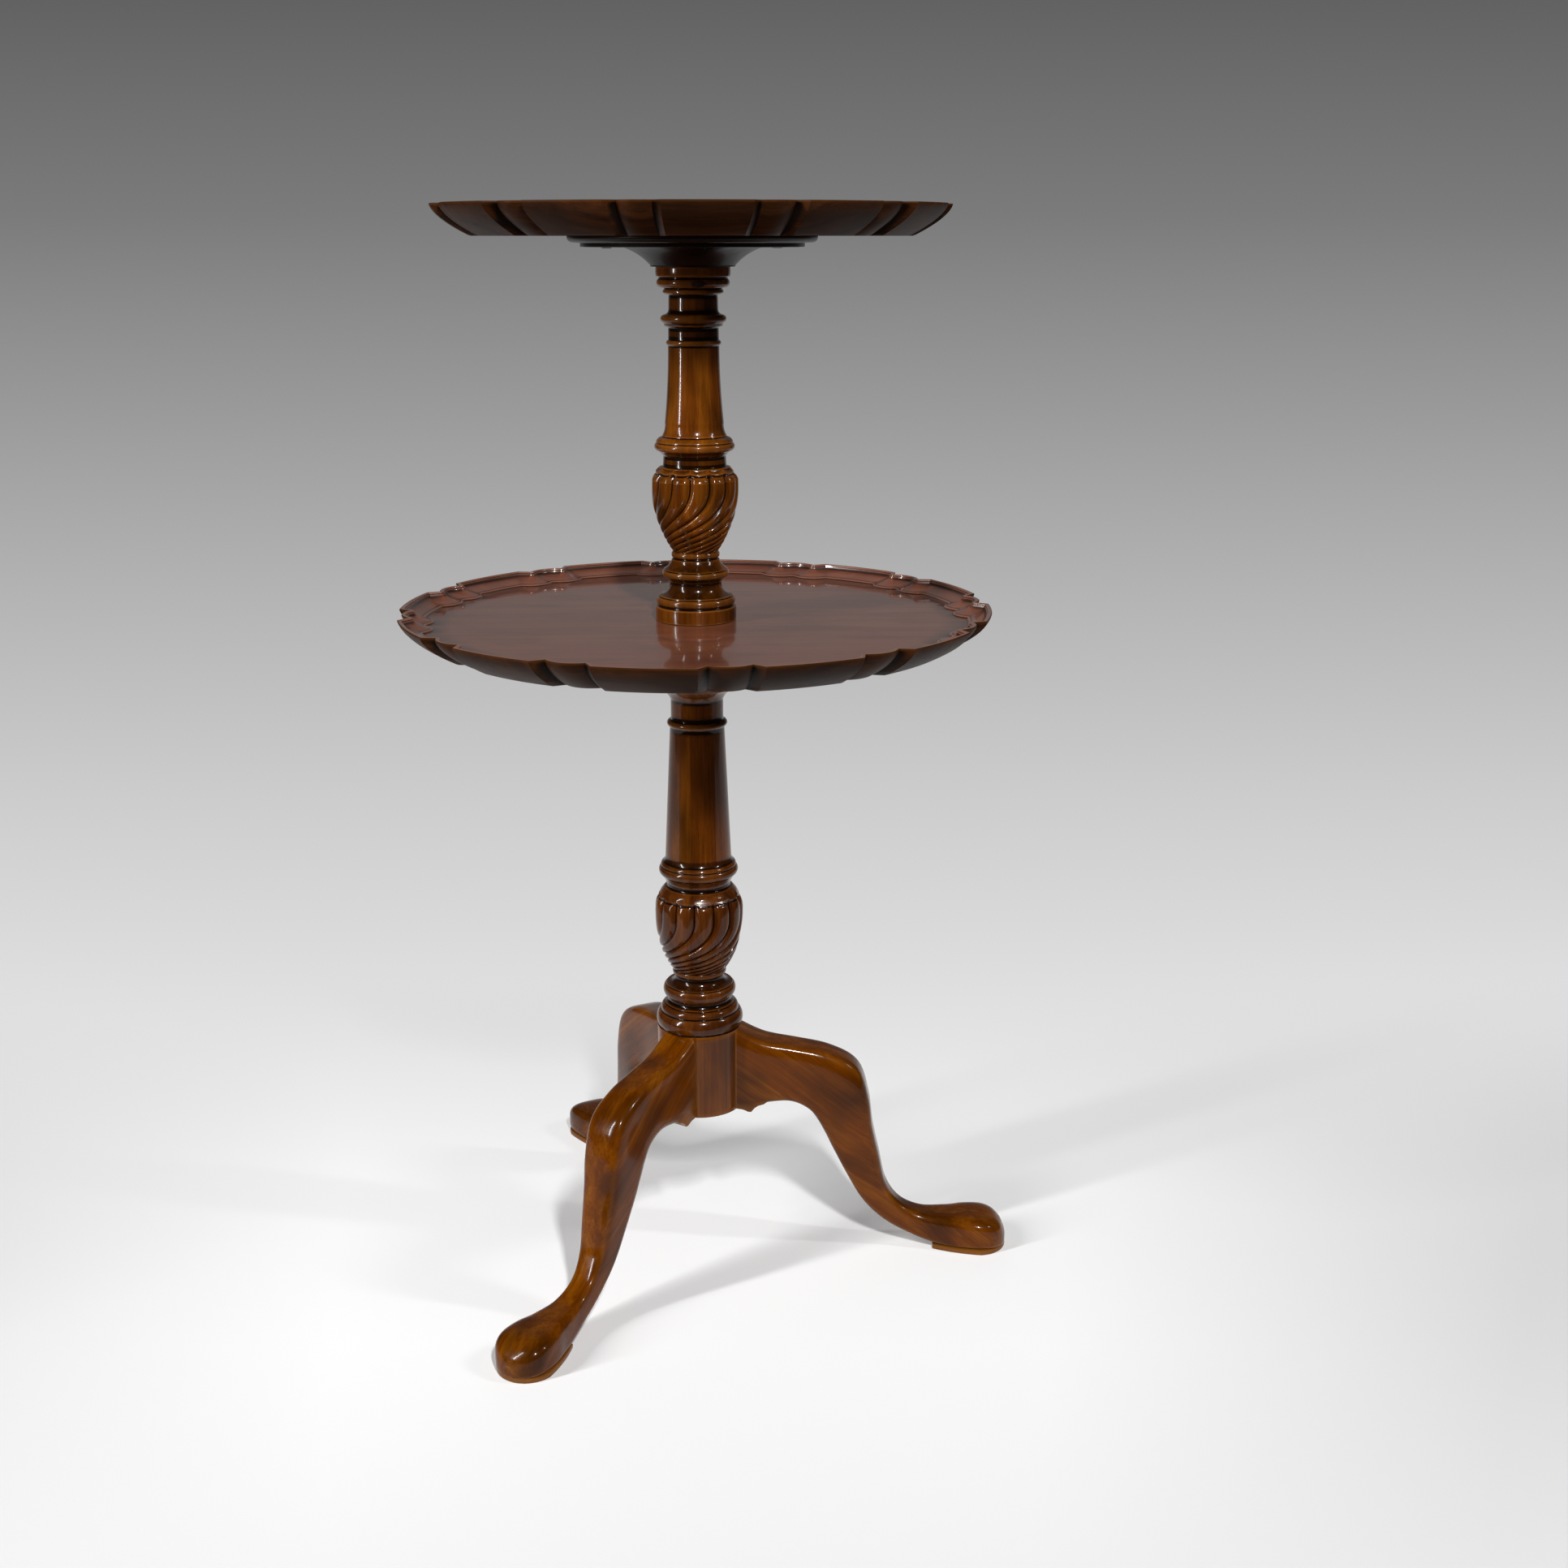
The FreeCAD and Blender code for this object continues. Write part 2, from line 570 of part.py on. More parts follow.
def make_tray(name, radius, bottom, turn, tools):
    """A tray worked from one board: drawn-in edge, dished top and moulded piecrust rim."""
    low = value(bottom)
    thickness, depth = size("tray_thickness"), size("dish_depth")
    edge = []
    for height, left in EDGE_SHARES:
        edge.append(piecrust_wire(radius, size("edge_draw") * left, low + thickness * height, turn))
    board = Part.makeLoft(edge, True, False)
    floor = low + thickness - depth
    step_top = floor + size("rim_step_height")
    step_inset = size("rim_width") - size("rim_step_width")
    step = [
        piecrust_wire(radius, size("rim_width"), floor, turn),
        piecrust_wire(radius, step_inset, step_top, turn),
    ]
    cove = []
    for height, left in COVE_SHARES:
        inset = size("lip_width") + (step_inset - size("lip_width")) * left
        cove.append(piecrust_wire(radius, inset, step_top + (low + thickness - step_top) * height, turn))
    dish = Part.makeLoft(step, True, True).fuse(Part.makeLoft(cove, True, False))
    dished = cut(f"{name}_dished", new_feature(f"{name}_board", board), new_feature(f"{name}_dish", dish))
    last = dished
    for index, tool in enumerate(tools):
        ending = name if index == len(tools) - 1 else f"{name}_bored"
        last = cut(ending, last, tool)
    return last


def make_tenon_hole():
    """The hole that turns on the tenon between the two columns."""
    hole = doc.addObject("Part::Cylinder", "tenon_hole")
    hole.setExpression("Radius", "Sizes.tenon_radius + Sizes.running_gap")
    hole.setExpression("Height", "Sizes.tray_thickness + 2 * Sizes.overrun")
    hole.setExpression("Placement.Base.z", f"{LOWER_TRAY_BOTTOM} - Sizes.overrun")
    return hole


def section_wire(reach, height, lean, half_depth, half_width, squareness):
    """A leg's section: an oval that goes square as its power rises, leaning with the leg."""
    angle = math.radians(lean)
    depth_axis = FreeCAD.Vector(math.sin(angle), 0, math.cos(angle))
    width_axis = FreeCAD.Vector(0, 1, 0)
    centre = FreeCAD.Vector(reach, 0, height)
    power = 2 / squareness
    points = []
    for index in range(SECTION_POINTS):
        turn = 2 * math.pi * (index + 0.5) / SECTION_POINTS
        across = math.copysign(abs(math.cos(turn)) ** power, math.cos(turn))
        along = math.copysign(abs(math.sin(turn)) ** power, math.sin(turn))
        points.append(centre + width_axis * (half_width * across) + depth_axis * (half_depth * along))
    curve = Part.BSplineCurve()
    curve.interpolate(points, PeriodicFlag=True)
    return Part.Wire(curve.toShape())


def leg_limb():
    """Limb and slipper foot along +X, lofted from the shoulder to the toe."""
    shoulder, span = size("flat_distance"), size("foot_reach") - size("flat_distance")
    half_block, half_leg = size("block_height") / 2, size("leg_thickness") / 2
    middle = size("block_bottom") + half_block
    half_shoulder = half_block - size("shoulder_drop")
    sections = [section_wire(shoulder, middle, 0, half_shoulder, half_leg, SHOULDER_SQUARENESS)]
    for reach, height, lean, depth, width, squareness in LIMB_SHARES:
        sections.append(section_wire(
            shoulder + span * reach, value(BLOCK_TOP) * height, lean,
            half_block * depth, half_leg * width, squareness,
        ))
    underside = size("sole_thickness") / 2
    for place, height, width, squareness in FOOT_SHARES:
        half_depth = (size("foot_height") * height - underside) / 2
        reach = size("foot_reach") + size("half_sole") * place
        half_width = size("half_sole") * width
        sections.append(section_wire(reach, underside + half_depth, 0, half_depth, half_width, squareness))
    return new_feature("leg_limb", Part.makeLoft(sections, True, False))


def leg_sole():
    """The thin sole under the foot, straight at the heel and round at the toe."""
    plan = []
    for place, width, bulge in SOLE_SHARES:
        plan.append((f"Sizes.foot_reach + Sizes.half_sole * {place}", f"Sizes.half_sole * {width}", bulge))
    return prism("leg_sole", "XY_Plane", plan, "0", "Sizes.sole_thickness")


def leg_beak():
    """The small cusp under the leg, just off the block."""
    tip = "Sizes.flat_distance + Sizes.beak_reach"
    root = "Sizes.block_bottom + 2 * Sizes.beak_drop"
    return prism("leg_beak", "XZ_Plane", [
        ("Sizes.flat_distance", "Sizes.block_bottom", 0),
        (tip, "Sizes.block_bottom - Sizes.beak_drop", BEAK_HOLLOW_SHARE),
        (f"{tip} + Sizes.beak_reach", "Sizes.block_bottom + Sizes.beak_drop", BEAK_HOLLOW_SHARE),
        (tip, root, 0), ("Sizes.flat_distance", root, 0),
    ], "0", f"Sizes.leg_thickness * {BEAK_WIDTH_SHARE}", symmetric=True)


def make_leg():
    """One leg along +X, with the dovetail that slides up into the pillar's socket."""
    plan = dovetail_outline("0")
    tongue = prism("leg_dovetail", "XY_Plane", plan, "Sizes.block_bottom", "Sizes.dovetail_height")
    return fused("leg_pattern", leg_limb(), leg_sole(), leg_beak(), tongue)


def make_nodes():
    """Every piece of the table, by name."""
    leg = make_leg()
    upper_screw_holes = screw_group("upper_screw_holes", UPPER_TRAY_BOTTOM, size("glue_gap"))
    lower_screw_holes = screw_group("lower_screw_holes", LOWER_TRAY_BOTTOM, size("glue_gap"))
    spindle_bore = "Sizes.spindle_radius + Sizes.glue_gap"
    tenon_bore = "Sizes.tenon_radius + Sizes.running_gap"
    lower_tools = [make_tenon_hole(), lower_screw_holes]
    nodes = {
        "lower_column": make_lower_column(),
        "upper_column": make_upper_column(),
        "retaining_peg": make_peg(),
        "top_spindle": make_spindle(),
        "upper_boss": make_boss("upper_boss", UPPER_COLUMN_TOP, spindle_bore, upper_screw_holes),
        "lower_boss": make_boss("lower_boss", LOWER_COLUMN_TOP, tenon_bore, lower_screw_holes),
        "upper_boss_screws": screw_group("upper_boss_screws", UPPER_TRAY_BOTTOM, 0),
        "lower_boss_screws": screw_group("lower_boss_screws", LOWER_TRAY_BOTTOM, 0),
        "upper_tray": make_tray(
            "upper_tray", "upper_tray_radius", UPPER_TRAY_BOTTOM, UPPER_TRAY_TURN, [upper_screw_holes]),
        "lower_tray": make_tray(
            "lower_tray", "lower_tray_radius", LOWER_TRAY_BOTTOM, LOWER_TRAY_TURN, lower_tools),
    }
    doc.recompute()
    for name, degrees in LEG_ANGLES.items():
        nodes[name] = new_feature(name, leg.Shape.copy(), turned_about_axis(degrees))
    doc.recompute()
    return nodes


def check(nodes):
    """Stop if any step of the model failed or left a broken solid."""
    for item in doc.Objects:
        if "Invalid" in item.State or "Error" in item.State:
            raise RuntimeError(f"{item.Label} failed: {item.State}")
    for name, item in nodes.items():
        if item.Shape.isNull() or not item.Shape.isValid() or not item.Shape.Solids:
            raise RuntimeError(f"{name} is not a sound solid")


def shift_to_middle(nodes):
    """The move that puts the middle of the whole footprint over the origin."""
    footprint = FreeCAD.BoundBox()
    for item in nodes.values():
        footprint.add(item.Shape.optimalBoundingBox(False, False))
    return FreeCAD.Vector(-footprint.Center.x, -footprint.Center.y, 0)


pieces = make_nodes()
check(pieces)
shift = shift_to_middle(pieces)
print("pillar's axis at", [round(shift.x, 3), round(shift.y, 3)])
os.makedirs("parts", exist_ok=True)
for name, item in pieces.items():
    item.Label = name
    placed = item.Shape.copy()
    placed.translate(shift)
    placed.exportStep(f"parts/{name}.step")
    print(name, len(item.Shape.Solids), round(item.Shape.Volume / 1000, 1), "cm3")
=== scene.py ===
# %% [markdown]
# # A revolving tiered table in French polished mahogany
#
# The table has three cabriole legs, a turned pillar in two lengths and two trays with a piecrust rim. The
# CAD frame already holds every piece at its true size and place, so this lesson only gives each one the
# surface that a turner, a carver and a polisher would leave on it. The table's lengths are written in
# millimetres, and one factor turns them into Blender's metres. The studio is written in metres.

# %% Load the frame
import json
import math

import bmesh
import bpy
from mathutils import Matrix, Vector


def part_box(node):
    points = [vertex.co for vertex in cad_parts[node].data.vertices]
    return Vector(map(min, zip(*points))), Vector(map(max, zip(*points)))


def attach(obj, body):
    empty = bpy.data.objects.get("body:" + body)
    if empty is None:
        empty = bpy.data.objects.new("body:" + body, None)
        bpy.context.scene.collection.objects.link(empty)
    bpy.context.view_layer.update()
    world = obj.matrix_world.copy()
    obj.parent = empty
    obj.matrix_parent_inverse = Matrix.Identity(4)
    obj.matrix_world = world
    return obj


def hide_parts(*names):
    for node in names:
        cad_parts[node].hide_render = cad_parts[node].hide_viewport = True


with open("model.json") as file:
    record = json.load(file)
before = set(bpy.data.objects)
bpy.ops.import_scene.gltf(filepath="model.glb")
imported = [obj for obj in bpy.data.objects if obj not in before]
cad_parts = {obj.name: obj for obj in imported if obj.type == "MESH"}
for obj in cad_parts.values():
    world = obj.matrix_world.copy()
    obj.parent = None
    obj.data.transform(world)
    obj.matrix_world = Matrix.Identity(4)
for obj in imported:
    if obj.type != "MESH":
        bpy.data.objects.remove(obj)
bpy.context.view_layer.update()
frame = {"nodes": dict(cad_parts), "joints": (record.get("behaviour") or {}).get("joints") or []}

MM = 0.001

# Each piece is made round the Z axis and then moved to the pillar's own axis, which both trays turn on
AXIS = Vector((*frame["joints"][0]["pos_m"][:2], 0))
print("pillar's axis at", [round(x / MM, 2) for x in AXIS])


def level(node, end):
    """Lowest (0) or highest (1) point of a CAD node."""
    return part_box(node)[end].z / MM


# %% [markdown]
# ## Nodes and colours
# Colours are written as sRGB hex values, the way a colour picker shows them, and one function turns them
# into the linear light that shaders add up. A second small function adds any node with its settings,
# socket values and links, so a material reads as a list of what it is made of. A mix node has sockets for
# every kind of value, so they are given by number: 0 is the share, 2 and 3 are numbers, 6 and 7 are
# colours.

# %% Colour and node helpers
def linear(colour):
    """An sRGB hex colour as linear light."""
    shares = [int(colour[place:place + 2], 16) / 255 for place in (1, 3, 5)]
    return [s / 12.92 if s <= 0.04045 else ((s + 0.055) / 1.055) ** 2.4 for s in shares] + [1.0]


def add(tree, kind, sockets=(), links=(), stops=(), **settings):
    """Add a node with its settings, the values of its sockets, its links and its ramp's stops."""
    node = tree.nodes.new(kind)
    for name, setting in settings.items():
        setattr(node, name, setting)
    for socket, amount in dict(sockets).items():
        node.inputs[socket].default_value = amount
    for socket, source in dict(links).items():
        tree.links.new(source, node.inputs[socket])
    if stops:
        ramp = node.color_ramp.elements
        while len(ramp) < len(stops):
            ramp.new(0.5)
        for stop, (place, colour) in zip(ramp, stops):
            stop.position, stop.color = place, linear(colour)
    return node


def new_material(name):
    """A material without nodes, and its tree."""
    material = bpy.data.materials.new(name)
    material.use_nodes = True
    material.node_tree.nodes.clear()
    return material, material.node_tree


# %% [markdown]
# ## Mahogany under French polish
# Mahogany has an even, ribbon-like figure: broad bands of lighter and darker wood, finer streaks along
# the grain and short dark pores. Shellac rubbed on by hand leaves a clear, nearly mirror-like coat that
# follows the slight waves of handwork. Old polish and dust gather in hollows and are rubbed thin on
# edges; the darkening in hollows is painted shade as well, and the lightening on edges is a painted
# highlight as well. Each mesh carries two attributes for this: "grain", a position whose third number
# runs along the wood, and "hollow", which is positive in hollows and negative on edges. Pores are about
# 0.3 mm wide in truth, too fine to show at this distance, so they are drawn at three times that.

# %% Mahogany
WOOD_IOR, SHELLAC_IOR = 1.5, 1.5
HAND_STRENGTH, PORE_STRENGTH, PORE_DEPTH = 1.0, 0.35, 0.05
STREAK_SHARE, STREAK_LOW, STREAK_HIGH, GLOSS_SPREAD = 0.35, 0.3, 0.7, 0.1
TONE_STOPS = (0.34, 0.50, 0.66)
# Width across the grain and length along it, in mm, with the settings of the noise
WOOD_PATTERNS = {
    "figure": (16, 260, {"Detail": 3.0, "Distortion": 0.8}),
    "streaks": (2.2, 90, {"Detail": 5.0, "Roughness": 0.6}),
    "pores": (0.9, 16, {"Detail": 1.0}),
    "waves": (48, 76.8, {"Detail": 2.0}),
}


def polished_wood(name, dark, middle, light, grime_and_shade, wear_and_highlight, gloss, shine, coat, film, wave,
                  soil=0.45, on_grain=True):
    """Polished wood: figure, streaks, pores, grime with painted shade in hollows, wear with a painted
    highlight on edges.
    """
    material, tree = new_material(name)
    if on_grain:
        grain = add(tree, "ShaderNodeAttribute", attribute_name="grain").outputs["Vector"]
    else:
        grain = add(tree, "ShaderNodeTexCoord").outputs["Object"]
    hollow = add(tree, "ShaderNodeAttribute", attribute_name="hollow").outputs["Fac"]

    # One unit of a pattern is its own width across the grain and its length along it
    patterns = {}
    for pattern, (width, length, settings) in WOOD_PATTERNS.items():
        scale = (1 / (width * MM), 1 / (width * MM), 1 / (length * MM))
        place = add(tree, "ShaderNodeMapping", {"Scale": scale}, {"Vector": grain}).outputs[0]
        noise = add(tree, "ShaderNodeTexNoise", {"Scale": 1.0, **settings}, {"Vector": place})
        patterns[pattern] = noise.outputs["Fac"]
    figure, streaks, pores, waves = patterns.values()
    tone = add(tree, "ShaderNodeMix", {0: STREAK_SHARE}, {2: figure, 3: streaks}).outputs[0]
    colour = add(tree, "ShaderNodeValToRGB", links={"Fac": tone},
                 stops=list(zip(TONE_STOPS, (dark, middle, light)))).outputs["Color"]

    # Open pores, patchy patina, grime with painted shade in hollows, and wear with a painted highlight on
    # edges: start, end and most of each
    layers = [
        (pores, 0.60, 0.72, 0.25, grime_and_shade), (waves, 0.48, 0.72, soil, grime_and_shade),
        (hollow, 0.03, 0.30, 0.95, grime_and_shade), (hollow, -0.15, -0.70, 0.35, wear_and_highlight),
    ]
    for amount, start, end, most, tint in layers:
        share = add(tree, "ShaderNodeMapRange", {"From Min": start, "From Max": end, "To Max": most},
                    {"Value": amount}).outputs[0]
        colour = add(tree, "ShaderNodeMix", {7: linear(tint)}, {0: share, 6: colour},
                     data_type="RGBA").outputs[2]

    # The coat follows the waves of handwork, and the wood under it shows its pores as well
    hand = add(tree, "ShaderNodeBump", {"Strength": HAND_STRENGTH, "Distance": wave * MM},
               {"Height": waves}).outputs[0]
    skin = add(tree, "ShaderNodeBump", {"Strength": PORE_STRENGTH, "Distance": PORE_DEPTH * MM},
               {"Height": pores, "Normal": hand}, invert=True).outputs[0]
    rough = add(tree, "ShaderNodeMapRange",
                {"From Min": STREAK_LOW, "From Max": STREAK_HIGH,
                 "To Min": gloss, "To Max": gloss + GLOSS_SPREAD},
                {"Value": streaks}).outputs[0]
    wood = add(tree, "ShaderNodeBsdfPrincipled",
               {"IOR": WOOD_IOR, "Specular IOR Level": shine,
                "Coat Weight": coat, "Coat Roughness": film, "Coat IOR": SHELLAC_IOR},
               {"Base Color": colour, "Roughness": rough, "Normal": skin, "Coat Normal": hand})
    add(tree, "ShaderNodeOutputMaterial", links={"Surface": wood.outputs[0]})
    print(name, "from", dark, "to", light)
    return material


# %% [markdown]
# ## The table's woods
# One timber looks different by how it was worked: turned, carved, cut flat or across the grain. Painted
# textures could show that too, but here one function makes every wood, so the grain runs alike on all
# pieces and only tone, polish and soil differ.

# %% Woods
# The fifth colour of each wood is grime with painted shade for hollows, the sixth wear with a painted
# highlight for edges
# Turned and French polished: warm brown, patchy, with thin bright highlights on every bead
pillar_wood = polished_wood(
    "pillar_mahogany_turned_polished", "#421e03", "#5c2d05", "#74400a",
    "#0a0300", "#84501c", gloss=0.13, shine=0.12,
    coat=0.26, film=0.05, wave=0.10, soil=0.75)
# The same turning in a darker tone, on the lower column between block and shaft: dark brown between its
# highlights
urn_wood = polished_wood(
    "pillar_mahogany_turned_darkened", "#2f1304", "#441f05", "#5a2f09",
    "#080200", "#6b3d14", gloss=0.13, shine=0.12,
    coat=0.3, film=0.05, wave=0.10, soil=0.8)
# Carved and polished by hand: a golden tone, with highlights that waver along the arrises
leg_wood = polished_wood(
    "leg_mahogany_carved_polished", "#482000", "#5c2c00", "#744004",
    "#0c0400", "#8f5d26", gloss=0.13, shine=0.10,
    coat=0.16, film=0.05, wave=0.14, soil=0.65)
# A flat board rubbed to a full gloss, which mirrors the pillar's foot and the grey wall
tray_wood = polished_wood(
    "tray_mahogany_dished_polished", "#6e4030", "#764635", "#7f4d3a",
    "#26120a", "#8a5a44", gloss=0.28, shine=0.5,
    coat=1.0, film=0.06, wave=0.05, soil=0.3)
# End grain takes up the stain and gives little gloss: a dark, soft edge under the bright floor. The
# same dark wood is laid on the trays' undersides and outward faces as painted shade
edge_grain_and_shade_wood = polished_wood(
    "tray_edge_mahogany_moulded_dark", "#1e0d04", "#2e1605", "#42220a",
    "#0b0401", "#4a2b12", gloss=0.40, shine=0.05,
    coat=0.0, film=0.1, wave=0.12)
# Turned, nearly black and hardly polished: only its rounds catch a little light
bearer_wood = polished_wood(
    "bearer_mahogany_turned_dark", "#0c0300", "#150701", "#1e0c02",
    "#040100", "#2c1606", gloss=0.32, shine=0.12,
    coat=0.1, film=0.1, wave=0.12)
# Oak cut plain and hardly polished: dull and dark
pin_wood = polished_wood(
    "pin_oak_plain_dark", "#1a0e07", "#26150b", "#322012",
    "#0c0603", "#3c2614", gloss=0.42, shine=0.2,
    coat=0.1, film=0.1, wave=0.08, on_grain=False)

# %% [markdown]
# ## Plain steel for the hidden screws
# Old wood screws are dull steel, lightly brown from the wood around them. They are hardly seen, so a
# rough metal with a cloudy tone is enough.

# %% Screw steel
CLOUD_SIZE = 1.5
# Drawn wire gone dull: a rough metal with soft clouds from grey to brown
screw_steel, tree = new_material("screw_steel_dull_drawn")
place = add(tree, "ShaderNodeTexCoord").outputs["Object"]
cloud = add(tree, "ShaderNodeTexNoise", {"Scale": 1 / (CLOUD_SIZE * MM), "Detail": 3.0},
            {"Vector": place}).outputs["Fac"]
tone = add(tree, "ShaderNodeValToRGB", links={"Fac": cloud},
           stops=[(0.35, "#57504a"), (0.65, "#8c857c")]).outputs["Color"]
steel = add(tree, "ShaderNodeBsdfPrincipled", {"Metallic": 1.0, "Roughness": 0.45}, {"Base Color": tone})
add(tree, "ShaderNodeOutputMaterial", links={"Surface": steel.outputs[0]})
print("screw steel made")

# %% [markdown]
# ## From a mesh to a finished piece
# Nearly every piece ends the same way. Doubled points are merged, normals are turned outwards, each
# vertex notes how hollow the wood is there, and the grain is set along the board it was cut from. The
# bend along an edge is twice the rise of its far end over the tangent plane, over its length squared:
# that is the curvature there. Hollows get grime together with painted shade from it, and edges get wear
# together with a painted highlight. A mask of grime and shade painted by hand would do as well, but this
# one follows every change of shape by itself.

# %% Finish a piece
HOLLOW_SPAN, MERGE_DISTANCE = 1.6, 0.004


def mark_hollows(bm, passes):
    """Note on each vertex how hollow (above 0) or proud (below 0) the surface is."""
    bm.normal_update()
    layer = bm.verts.layers.float.new("hollow")
    for vert in bm.verts:
        bends = [0.0]
        for edge in vert.link_edges:
            reach = edge.other_vert(vert).co - vert.co
            bends.append(2 * reach.dot(vert.normal) / max(reach.length_squared, 1e-9))
        vert[layer] = max(-1.0, min(1.0, (max(bends) + min(bends)) * HOLLOW_SPAN * MM))
    for _ in range(passes):
        blurred = []
        for vert in bm.verts:
            around = [edge.other_vert(vert)[layer] for edge in vert.link_edges]
            blurred.append(0.5 * vert[layer] + 0.5 * sum(around) / max(len(around), 1))
        for vert, amount in zip(bm.verts, blurred):
            vert[layer] = amount


def mark_grain(bm, along, start=0.0):
    """Set the wood's own coordinates, with the grain along the third."""
    layer = bm.verts.layers.float_vector.new("grain")
    turn = Vector(along).rotation_difference(Vector((0, 0, 1)))
    for vert in bm.verts:
        vert[layer] = turn @ vert.co + Vector((start, start, start))


def close_mesh(bm):
    """Merge doubled points and turn all faces outwards."""
    bmesh.ops.remove_doubles(bm, verts=bm.verts, dist=MERGE_DISTANCE * MM)
    bmesh.ops.dissolve_degenerate(bm, edges=bm.edges, dist=MERGE_DISTANCE * MM)
    bmesh.ops.recalc_face_normals(bm, faces=bm.faces)


def finish_piece(bm, name, body, materials, node=None, crease=38):
    """Make a bmesh an object that rides on a body and, where it does, stands for a CAD node."""
    mesh = bpy.data.meshes.new(name)
    bmesh.ops.translate(bm, verts=bm.verts, vec=AXIS)
    bm.to_mesh(mesh)
    open_edges = sum(not edge.is_manifold for edge in bm.edges)
    bm.free()
    mesh.shade_smooth()
    mesh.set_sharp_from_angle(angle=math.radians(crease))
    for material in materials:
        mesh.materials.append(material)
    piece = bpy.data.objects.new(name, mesh)
    bpy.context.scene.collection.objects.link(piece)
    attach(piece, body)
    if node:
        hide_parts(node)
    mesh.calc_loop_triangles()
    print(name, len(mesh.loop_triangles), "triangles,", open_edges, "open edges")


# %% [markdown]
# ## Turning on a lathe
# A turner's outline is a wire of straight fillets, beads and coves. Each run is a straight edge of the
# bmesh, cut up and bowed into an arc where it bulges; a vertex bevel then eases each corner, as sandpaper
# does. The spin operator turns the wire through one lobe's width, and a second spin copies that slice
# round the axis, which is much quicker than one long spin. A curve object with a screw modifier could do
# the same, but here the vertices are needed for the carving that follows.

# %% Lathe helpers
LOBES = 13
LOBE_COLUMNS = 16
CORNER_EASE, EASE_SHARE, SHARP_TURN = 0.45, 0.4, 14
ARC_CHORD, STRAIGHT_CHORD = 1.3, 4.0


def points_of(made):
    """The vertices among all that an operator made."""
    return [item for item in made if isinstance(item, bmesh.types.BMVert)]


def bow(bm, edge, bulge, normal):
    """Cut up an edge of a wire and bow it into an arc."""
    start, end = [vert.co.copy() for vert in edge.verts]
    along = end - start
    cuts = int(along.length / MM / (ARC_CHORD if bulge else STRAIGHT_CHORD))
    if cuts == 0:
        return
    made = bmesh.ops.subdivide_edges(bm, edges=[edge], cuts=cuts)["geom_inner"]
    if not bulge:
        return
    radius = along.length * (1 + 4 * bulge ** 2) / (8 * abs(bulge))
    outward = along.cross(normal).normalized() * math.copysign(1, bulge)
    for vert in points_of(made):
        off_middle = (vert.co - start).dot(along) / along.length - along.length / 2
        rise = math.sqrt(max(radius ** 2 - off_middle ** 2, 0)) - radius + abs(bulge) * along.length
        vert.co += outward * rise


def ease(bm, corner, amount):
    """Round a corner of a wire with a small bevel, where it turns sharply."""
    first, second = [edge.other_vert(corner).co - corner.co for edge in corner.link_edges]
    if first.angle(-second) < math.radians(SHARP_TURN):
        return
    offset = min(amount * MM, EASE_SHARE * first.length, EASE_SHARE * second.length)
    bmesh.ops.bevel(bm, geom=[corner], affect="VERTICES", offset=offset, offset_type="OFFSET",
                    segments=2, profile=0.5, material=-1)


def turn_on_lathe(rows):
    """Spin a wire through rows of radius, height and bulge round the pillar's axis."""
    bm = bmesh.new()
    knots = [bm.verts.new((radius * MM, 0, height * MM)) for radius, height, bulge in rows]
    runs = [bm.edges.new(pair) for pair in zip(knots, knots[1:])]
    for run, row in zip(runs, rows[1:]):
        bow(bm, run, row[2], Vector((0, -1, 0)))
    bm.verts.ensure_lookup_table()
    for knot in [bm.verts[index] for index in range(1, len(rows) - 1)]:
        ease(bm, knot, CORNER_EASE)
    pitch = 2 * math.pi / LOBES
    bmesh.ops.spin(bm, geom=bm.verts[:] + bm.edges[:], axis=(0, 0, 1), cent=(0, 0, 0),
                   angle=pitch, steps=LOBE_COLUMNS)
    bmesh.ops.spin(bm, geom=bm.verts[:] + bm.edges[:] + bm.faces[:], axis=(0, 0, 1), cent=(0, 0, 0),
                   angle=2 * math.pi - pitch, steps=LOBES - 1, use_duplicate=True)
    close_mesh(bm)
    return bm


def smooth_rows(rows, steps):
    """Rows of numbers with smooth steps between each pair, passing through them all."""
    padded = [rows[0], *rows, rows[-1]]
    run = []
    for before, start, end, after in zip(padded, padded[1:], padded[2:], padded[3:]):
        for t in [step / steps for step in range(steps)]:
            run.append([
                b + 0.5 * t * (c - a + t * (2 * a - 5 * b + 4 * c - d + t * (3 * (b - c) + d - a)))
                for a, b, c, d in zip(before, start, end, after)
            ])
    return [*run, list(rows[-1])]


# %% [markdown]
# ## The pillar's outlines
# Both columns are read off the photo as shares: the height along the turning, the radius against the
# urn's largest, and the bulge of the curve that arrives there. The urns between foot and head have their
# own list of depth from the shoulder and radius at the crest of the carved lobes. A curve traced over the
# photo would do as well, but shares keep every bead in its place when the frame's heights change.

# %% Outlines of the two columns
LOWER_FOOT = [
    (0.000, 0.930, 0), (0.042, 0.915, 0.18),
    (0.044, 0.882, 0), (0.047, 0.882, 0), (0.062, 0.812, 0.15),
    (0.0635, 0.780, 0), (0.065, 0.778, 0), (0.073, 0.706, -0.12), (0.078, 0.700, 0),
    (0.0795, 0.722, 0), (0.083, 0.728, 0), (0.084, 0.752, 0), (0.115, 0.785, 0.21),
    (0.1165, 0.757, 0), (0.119, 0.755, 0),
    (0.136, 0.555, -0.20), (0.142, 0.548, 0), (0.158, 0.600, 0.22),
]
LOWER_CREST = [
    (0.00, 1.000), (0.17, 0.992), (0.34, 0.962), (0.50, 0.918), (0.62, 0.876),
    (0.74, 0.812), (0.84, 0.740), (0.92, 0.672), (1.00, 0.588),
]
